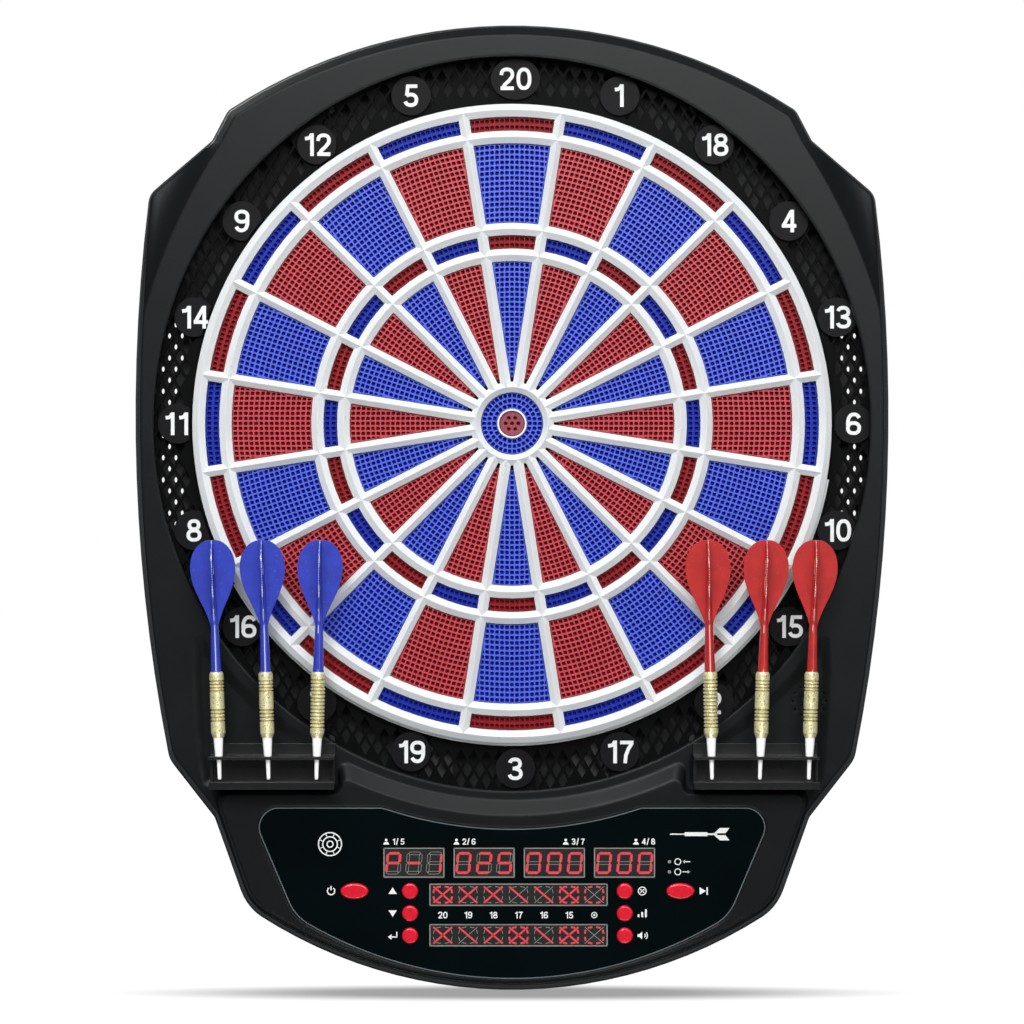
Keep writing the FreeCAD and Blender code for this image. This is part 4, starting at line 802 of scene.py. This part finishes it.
def frame_lines(solid, box):
    """A thin raised border just inside a display's face."""
    (x0, z0, _), (x1, z1, face) = box
    x0, z0, x1, z1 = x0 + BORDER_INSET, z0 + BORDER_INSET, x1 - BORDER_INSET, z1 - BORDER_INSET
    outline_bars(solid, [(x0, z0), (x1, z0), (x1, z1), (x0, z1)], BORDER_WIDTH, face)


ROWS = (("box", "x", "x", "\\", "\\", "box", "ring"), ("x", "\\", "x", "box", "\\", "box", "ring"))
CELL_PITCH = 13.95
CELL_HALF = (5.2, 4.5)
DASH_TURNS = (0.012, 0.088)
SQUARENESS = 0.62
MARK_WIDTH = 1.05
FAINT_MARK_WIDTH = 0.3


def cell_marks(x, z):
    """The strokes of one score cell about its middle, by name: two diagonals and eight dashes round them."""
    half_x, half_z = CELL_HALF
    marks = {"\\": [((x - half_x, z + half_z), (x + half_x, z - half_z))],
             "/": [((x - half_x, z - half_z), (x + half_x, z + half_z))], "ring": []}
    for turn in (0.0, 0.25, 0.5, 0.75):
        for part in (-1, 1):
            ends = [TAU * (turn + part * share) for share in DASH_TURNS]
            marks["ring"].append([(x + half_x * squared(math.sin(a), SQUARENESS),
                                   z + half_z * squared(math.cos(a), SQUARENESS)) for a in ends])
    return marks


def row_boxes():
    return sorted(parts_of("row_displays"), key=lambda box: -box[0][1])


def displays():
    """Digits and row marks on the grey display faces: lit ones red, the others faint outlines."""
    lit, unlit = Solid(), Solid()
    for text, box in zip(SCORES, parts_of("score_displays")):
        x, z, _ = middle(box)
        face = box[1][2]
        frame_lines(unlit, box)
        for place, character in enumerate(text):
            for letter, outline in digit_bars(x + (place - 1) * DIGIT_PITCH, z - 0.2).items():
                if letter in SEGMENT_SETS[character]:
                    lit.plate(outline, face - SINK, face + LIT_LIFT)
                else:
                    outline_bars(unlit, outline, FAINT_WIDTH, face)
    for states, box in zip(ROWS, row_boxes()):
        x, z, _ = middle(box)
        face = box[1][2]
        frame_lines(unlit, box)
        for place, state in enumerate(states):
            on = {"box": ("\\", "/", "ring"), "x": ("\\", "/"), "\\": ("\\",), "ring": ("ring",)}[state]
            for kind, strokes in cell_marks(x + (place - 3) * CELL_PITCH, z).items():
                lighted = lit, MARK_WIDTH, LIT_LIFT
                solid, width, lift = lighted if kind in on else (unlit, FAINT_MARK_WIDTH, FAINT_LIFT)
                for a, b in strokes:
                    solid.line(a, b, width, face - SINK, face + lift)
    lit.piece("display_lit_marks", [MAT["lit"]], "board", "light_red")
    unlit.piece("display_faint_marks", [MAT["unlit"]], "board", "display_grey")


class Pen(Solid):
    """Flat marks on the dark panel's face, round a place that moves from icon to icon."""

    def __init__(self, face):
        super().__init__()
        self.front = face
        self.place, self.size = (0.0, 0.0), 1.0

    def at(self, place, size=1.0):
        self.place, self.size = place, size
        return self

    def shape(self, outline):
        (x, z), size = self.place, self.size
        self.plate([(x + u * size, z + v * size) for u, v in outline], self.front, self.front + PRINT)

    def bar(self, a, b, width):
        self.shape(ribbon([a, b], width))

    def arc(self, centre, radii, turns=(0.0, 1.0), steps=14):
        """A bent bar between two radii, from turn to turn clockwise from the top."""
        if turns[1] - turns[0] > 0.75:
            half = sum(turns) / 2
            self.arc(centre, radii, (turns[0], half), steps)
            self.arc(centre, radii, (half, turns[1]), steps)
            return
        angles = [TAU * (turns[0] + (turns[1] - turns[0]) * i / steps) for i in range(steps + 1)]
        inner, outer = ([(centre[0] + r * math.sin(a), centre[1] + r * math.cos(a)) for a in angles]
                        for r in radii)
        self.shape(outer + inner[::-1])

    def dot(self, centre, radius):
        self.shape([(centre[0] + u, centre[1] + v) for u, v in circle(radius, 28)])


def icon_power(pen):
    pen.arc((0, 0), (1.25, 1.75), (0.1, 0.9))
    pen.bar((0, 0.3), (0, 2.1), 0.5)


def icon_up(pen):
    pen.shape([(-1.7, -1.2), (1.7, -1.2), (0, 1.5)])


def icon_down(pen):
    pen.shape([(-1.7, 1.2), (1.7, 1.2), (0, -1.5)])


def icon_enter(pen):
    pen.bar((1.7, 1.5), (1.7, -0.6), 0.5)
    pen.bar((1.9, -0.6), (-0.6, -0.6), 0.5)
    pen.shape([(-2.0, -0.6), (-0.4, -1.7), (-0.4, 0.5)])


def icon_miss(pen):
    pen.arc((0, 0), (1.4, 1.8))
    for side in (-0.75, 0.75):
        pen.bar((-0.75, -side), (0.75, side), 0.42)


def icon_levels(pen):
    for i, height in enumerate((1.1, 2.1, 3.2)):
        pen.bar((1.5 * (i - 1), -1.6), (1.5 * (i - 1), height - 1.6), 0.8)


def icon_sound(pen):
    pen.shape([(-1.9, -0.6), (-1.1, -0.6), (0, -1.6), (0, 1.6), (-1.1, 0.6), (-1.9, 0.6)])
    for radius in (1.0, 1.9):
        pen.arc((0, 0), (radius, radius + 0.4), (0.14, 0.36))


def icon_next(pen):
    pen.shape([(-1.7, -1.5), (0.9, 0), (-1.7, 1.5)])
    pen.bar((1.4, -1.5), (1.4, 1.5), 0.6)


def icon_ring_arrow(pen, tip, tail):
    """A double ring with an arrow into it or out of it."""
    pen.arc((0, 0), (1.05, 1.4))
    pen.bar((tail, 0), (tip, 0), 0.36)
    step = math.copysign(0.9, tail - tip)
    pen.shape([(tip, 0), (tip + step, 0.7), (tip + step, -0.7)])


def icon_player(pen):
    pen.dot((0, 0.75), 0.65)
    pen.arc((0, -1.45), (0.0, 1.35), (-0.25, 0.25))


def emblem_rings(pen):
    for radius in (1.3, 3.1, 4.9):
        pen.arc((0, 0), (radius - 0.25, radius + 0.25), steps=20)
    for k in range(8):
        across, up = math.sin(TAU * (k + 0.5) / 8), math.cos(TAU * (k + 0.5) / 8)
        pen.bar((3.4 * across, 3.4 * up), (4.6 * across, 4.6 * up), 0.35)


def emblem_dart(pen):
    """A plain dart lying on its side."""
    for start, end, width in ((-9.0, -4.5, 0.35), (-4.5, 2.5, 1.2), (2.5, 5.5, 0.5)):
        pen.bar((start, 0), (end, 0), width)
    for side in (-1, 1):
        pen.shape([(4.5, 0.3 * side), (6.3, 1.9 * side), (9.2, 1.9 * side), (8.0, 0.3 * side)])


BUTTON_ICONS = {"power": (-1, icon_power), "up": (-1, icon_up), "down": (-1, icon_down),
                "enter": (-1, icon_enter), "miss": (1, icon_miss), "handicap": (1, icon_levels),
                "sound": (1, icon_sound), "next": (1, icon_next)}
ICON_SIZE = 1.35
ICON_GAP = 4.2
PLAYER_SIZE = 1.15
LABEL_HEIGHT = 3.4
ROW_LABELS = range(20, 14, -1)
ROW_LABEL_HEIGHT = 3.7


def player_labels(pen):
    """Each score display's two player numbers, with a small figure before them."""
    for number, ((x0, _, _), (x1, z1, _)) in enumerate(parts_of("score_displays")):
        line = z1 + LABEL_HEIGHT
        label = f"{number + 1}/{number + 5}"
        if number < 2:
            icon_player(pen.at((x0 + 1.6, line), PLAYER_SIZE))
            lettering(pen, label, (x0 + 4.8, line), LABEL_HEIGHT, pen.front, PRINT, "left")
        else:
            width = lettering(pen, label, (x1, line), LABEL_HEIGHT, pen.front, PRINT, "right")
            icon_player(pen.at((x1 - width - 3.2, line), PLAYER_SIZE))


def row_labels(pen):
    """The numbers between the two score rows, with a small bull for the last one."""
    rows = row_boxes()
    line = (rows[0][0][1] + rows[1][1][1]) / 2
    centre = middle(rows[0])[0]
    for place, number in enumerate(ROW_LABELS):
        x = centre + (place - 3) * CELL_PITCH
        lettering(pen, str(number), (x, line), ROW_LABEL_HEIGHT, pen.front, PRINT)
    pen.at((centre + 3 * CELL_PITCH, line))
    pen.arc((0, 0), (1.25, 1.7))
    pen.dot((0, 0), 0.6)


def console_prints():
    """White icons and numbers on the dark panel."""
    lens, scores = node_box("console_lens"), parts_of("score_displays")
    pen = Pen(lens[1][2])
    for name, (side, draw) in BUTTON_ICONS.items():
        box = node_box(f"{name}_button")
        x, z, _ = middle(box)
        draw(pen.at((x + side * (box[1][0] - x + ICON_GAP), z), ICON_SIZE))
    player_labels(pen)
    row_labels(pen)
    lights_low_first = sorted(parts_of("indicator_lights"), key=lambda b: b[0][1])
    for (tip, tail), box in zip(((5.0, 2.0), (2.0, 5.0)), lights_low_first):
        x, z, _ = middle(box)
        icon_ring_arrow(pen.at((x + 4.6, z), ICON_SIZE), tip, tail)
    height = scores[0][1][1]
    emblem_rings(pen.at(((lens[0][0] + scores[0][0][0]) / 2 + 5.0, height + 2.0), 1.3))
    emblem_dart(pen.at(((lens[1][0] + scores[3][1][0]) / 2 - 6.0, height + 7.5), 1.8))
    pen.piece("console_icons", [MAT["print"]], "board", "lens_dark")


def front_loop(name):
    """The longest closed outline of a node's front face, as (x, z) points."""
    points = points_of(name)
    front = points[:, 2].max()
    keys = [tuple(np.round(p[:2], 3)) for p in points]
    faces = [[keys[v] for v in polygon.vertices] for polygon in nodes[name].data.polygons
             if polygon.normal.y < -0.9 and min(points[v][2] for v in polygon.vertices) > front - 0.01]
    return max(open_loops(faces), key=lambda loop: abs(area_of(loop)))


LINE_INSET = 0.02
LINE_WIDTH = 0.6
LINE_SINK = 0.1
LINE_LIFT = 0.05


def lens_line():
    """A painted highlight: a thin pale band just inside the dark panel's edge, where the edge catches the
    light.
    """
    loop = front_loop("console_lens")
    if area_of(loop) < 0:
        loop = loop[::-1]
    face = node_box("console_lens")[1][2]
    count = len(loop)
    solid = Solid()
    rings = []
    for inset, forward in ((LINE_INSET, face - LINE_SINK), (LINE_INSET, face + LINE_LIFT),
                           (LINE_WIDTH, face + LINE_LIFT), (LINE_WIDTH, face - LINE_SINK)):
        ring = []
        for i in range(count):
            a, p, b = (np.array(loop[(i + d) % count]) for d in (-1, 0, 1))
            along = (b - a) / max(np.linalg.norm(b - a), 1e-9)
            spot = p + np.array((-along[1], along[0])) * inset
            ring.append(solid.add((spot[0], spot[1], forward)))
        rings.append(ring)
    for near, far in zip(rings, rings[1:] + rings[:1]):
        solid.band(far, near)
    solid.piece("lens_edge_line", [MAT["lens_line"]], "board", "lens_dark", smooth=30)


# ---------------- darts

BARREL_STEPS = 72
BARREL_RINGS = 181
BARREL_RADIUS = 4.0
KNURL = 0.24
KNURL_STARTS = 12
KNURL_TWIST = 3.2
PLAIN_DROP = 0.03
GROOVE = 0.6
GROOVE_SHARE = 0.42
END_STEP = 1.2
GROOVE_ENDS = (4.0, 1.6)
# Bands of grooves by their share of the length, and how many grooves each band has.
GROOVES = {"few": ((0.24, 0.46, 4), (0.70, 0.90, 4)), "many": ((0.14, 0.92, 14),)}
MANY_GROOVED = (("blue", 3), ("red", 1))


def barrel_axis(name):
    """A dart's foot, its lengthwise and sideways directions, and where its barrel starts and ends."""
    points, tip, flight = (points_of(f"{name}_{part}") for part in ("barrel", "tip", "flight"))
    foot = tip[tip[:, 1] < tip[:, 1].min() + 0.3].mean(axis=0)
    top = flight[flight[:, 1] > flight[:, 1].max() - 1.0].mean(axis=0)
    direction = (top - foot) / np.linalg.norm(top - foot)
    side = np.cross(direction, (0.0, 0.0, 1.0))
    along = (points - foot) @ direction
    return foot, direction, side / np.linalg.norm(side), along.min(), along.max()


def barrel_radius(height, length, grooved):
    """The turned radius at a height from the point's end: end chamfers, knurled bands and ring grooves."""
    if height < END_STEP:
        return BARREL_RADIUS - 0.9 + 0.4 * height / END_STEP
    if height < 2 * END_STEP:
        return BARREL_RADIUS - 0.5 + 0.4 * (height - END_STEP) / END_STEP
    if height > length - END_STEP:
        return BARREL_RADIUS - 0.7 + 0.6 * (length - height) / END_STEP
    share = height / length
    for low, high, count in grooved:
        if low < share < high:
            phase = (share - low) / (high - low) * count % 1.0
            return BARREL_RADIUS - (GROOVE if phase < GROOVE_SHARE else 0.0)
    return BARREL_RADIUS


def knurl(angle, height):
    """How deep the crossed knurling is at a place."""
    turn, climb = angle * KNURL_STARTS, height * KNURL_TWIST
    return KNURL * abs(math.sin(turn + climb)) * abs(math.sin(turn - climb))


def barrel(colour, number):
    """A knurled brass barrel with ring grooves, turned about the dart's own axis."""
    dart = f"{colour}_dart_{number}"
    foot, direction, side, start, end = barrel_axis(dart)
    length = end - start
    grooved = GROOVES["many" if (colour, number) in MANY_GROOVED else "few"]
    heights = np.linspace(0.0, length, BARREL_RINGS)
    other = np.cross(direction, side)
    angles = [TAU * i / BARREL_STEPS for i in range(BARREL_STEPS)]
    solid = Solid()
    rings = []
    for height in heights:
        radius = barrel_radius(height, length, grooved)
        whole = radius > BARREL_RADIUS - PLAIN_DROP
        spot = foot + direction * (start + height)
        rings.append([solid.add(tuple(spot + (radius - whole * knurl(a, height))
                                      * (math.cos(a) * side + math.sin(a) * other))) for a in angles])
    for near, far, height in zip(rings, rings[1:], heights):
        # Faces deep in a groove, away from the ends, take the darker brass. It is painted shade in the
        # grooves.
        sunk = barrel_radius(height, length, grooved) < BARREL_RADIUS - GROOVE / 2
        solid.band(far, near, int(sunk and GROOVE_ENDS[0] < height < length - GROOVE_ENDS[1]))
    solid.face(rings[0])
    solid.face(rings[-1][::-1])
    solid.piece(f"{dart}_barrel_knurled", [MAT["brass"], MAT["brass_groove"]], dart, "barrel_brass",
                replaces=[f"{dart}_barrel"], smooth=35)


# ---------------- camera, light, floor

TARGET_PLANE = 28.0
CAMERA_DISTANCE = 2400.0
FRAME_WIDTH = 567.0
FRAME_CENTRE = (0.0, -49.0)


def camera():
    data = bpy.data.cameras.new("camera")
    data.sensor_width = 36.0
    data.lens = data.sensor_width * CAMERA_DISTANCE / FRAME_WIDTH
    data.clip_end = 50.0
    holder = new_object("camera", data)
    x, z = FRAME_CENTRE
    holder.location = (x * MM, -(TARGET_PLANE + CAMERA_DISTANCE) * MM, z * MM)
    holder.rotation_euler = (math.radians(90), 0.0, 0.0)
    bpy.context.scene.camera = holder


def area_light(name, place, size, power, aim=(0.0, 0.0, 0.0)):
    data = bpy.data.lights.new(name, "AREA")
    data.shape = "RECTANGLE"
    data.size, data.size_y = size
    data.energy = power
    holder = new_object(name, data)
    holder.location = place
    holder.rotation_euler = (Vector(aim) - Vector(place)).to_track_quat("-Z", "Y").to_euler()


def lights():
    area_light("key_top_left", (-0.7, -2.7, 1.6), (0.9, 0.9), 47.0)
    area_light("front_high", (0.4, -3.0, 1.0), (1.4, 0.9), 34.0)
    area_light("fill_right", (1.2, -2.6, 0.4), (0.6, 1.2), 6.0, (0.0, 0.0, -0.05))
    area_light("top_strip", (0.0, -1.05, 1.75), (1.6, 0.25), 10.0, (0.0, 0.0, -0.15))
    area_light("low_front", (0.0, -1.6, -1.5), (1.6, 0.5), 21.0, (0.0, 0.0, -0.1))
    area_light("back_soft", (-0.9, 2.4, 1.3), (1.4, 1.0), 34.0)


def world():
    """Soft grey light from all round, and plain white where the camera sees past the floor."""
    made = bpy.data.worlds.new("studio")
    made.use_nodes = True
    tree = made.node_tree
    ambient = tree.nodes["Background"]
    ambient.inputs["Color"].default_value = (0.93, 0.96, 1.0, 1.0)
    ambient.inputs["Strength"].default_value = 0.16
    white = tree.nodes.new("ShaderNodeBackground")
    white.inputs["Color"].default_value = WHITE
    seen = tree.nodes.new("ShaderNodeLightPath")
    mixer = tree.nodes.new("ShaderNodeMixShader")
    tree.links.new(seen.outputs["Is Camera Ray"], mixer.inputs[0])
    tree.links.new(ambient.outputs[0], mixer.inputs[1])
    tree.links.new(white.outputs[0], mixer.inputs[2])
    tree.links.new(mixer.outputs[0], tree.nodes["World Output"].inputs["Surface"])
    bpy.context.scene.world = made


FLOOR_HALF = 9.0
FLOOR_GAP = 0.0015
SHADOW_DEPTH = 0.2
SHADOW_REACH = (0.25, 0.05)
SHADOW_CORE = 0.68
SHADOW_GLOW = (1.02, 0.36)


def floor():
    """A pale floor just under the board, with a painted soft shadow at the board's foot."""
    mesh = bpy.data.meshes.new("floor")
    size, level = FLOOR_HALF, cad_box[0].z - FLOOR_GAP
    mesh.from_pydata([(-size, -size, level), (size, -size, level), (size, size, level), (-size, size, level)],
                     [], [(0, 1, 2, 3)])
    shader = Shader("floor_pale_painted_shadow", (0.02, 0.02, 0.02, 1.0), 0.9, vary=0.01, patch=300.0,
                    Emission_Color=WHITE, Specular_IOR_Level=0.0)
    foot = (0.0, cad_box[0].y * SHADOW_DEPTH)
    mesh.materials.append(shader.glow_outside(foot, SHADOW_REACH, SHADOW_GLOW).grain(3.0, 0.01).done())
    made = new_object("floor", mesh)
    made.visible_glossy = made.visible_diffuse = False


dress_cad_nodes()
light_spines()
perforated_target()
numerals()
displays()
console_prints()
lens_line()
for dart_colour in ("blue", "red"):
    for dart_number in (1, 2, 3):
        barrel(dart_colour, dart_number)
camera()
lights()
world()
floor()
bpy.context.scene.view_settings.view_transform = "Standard"
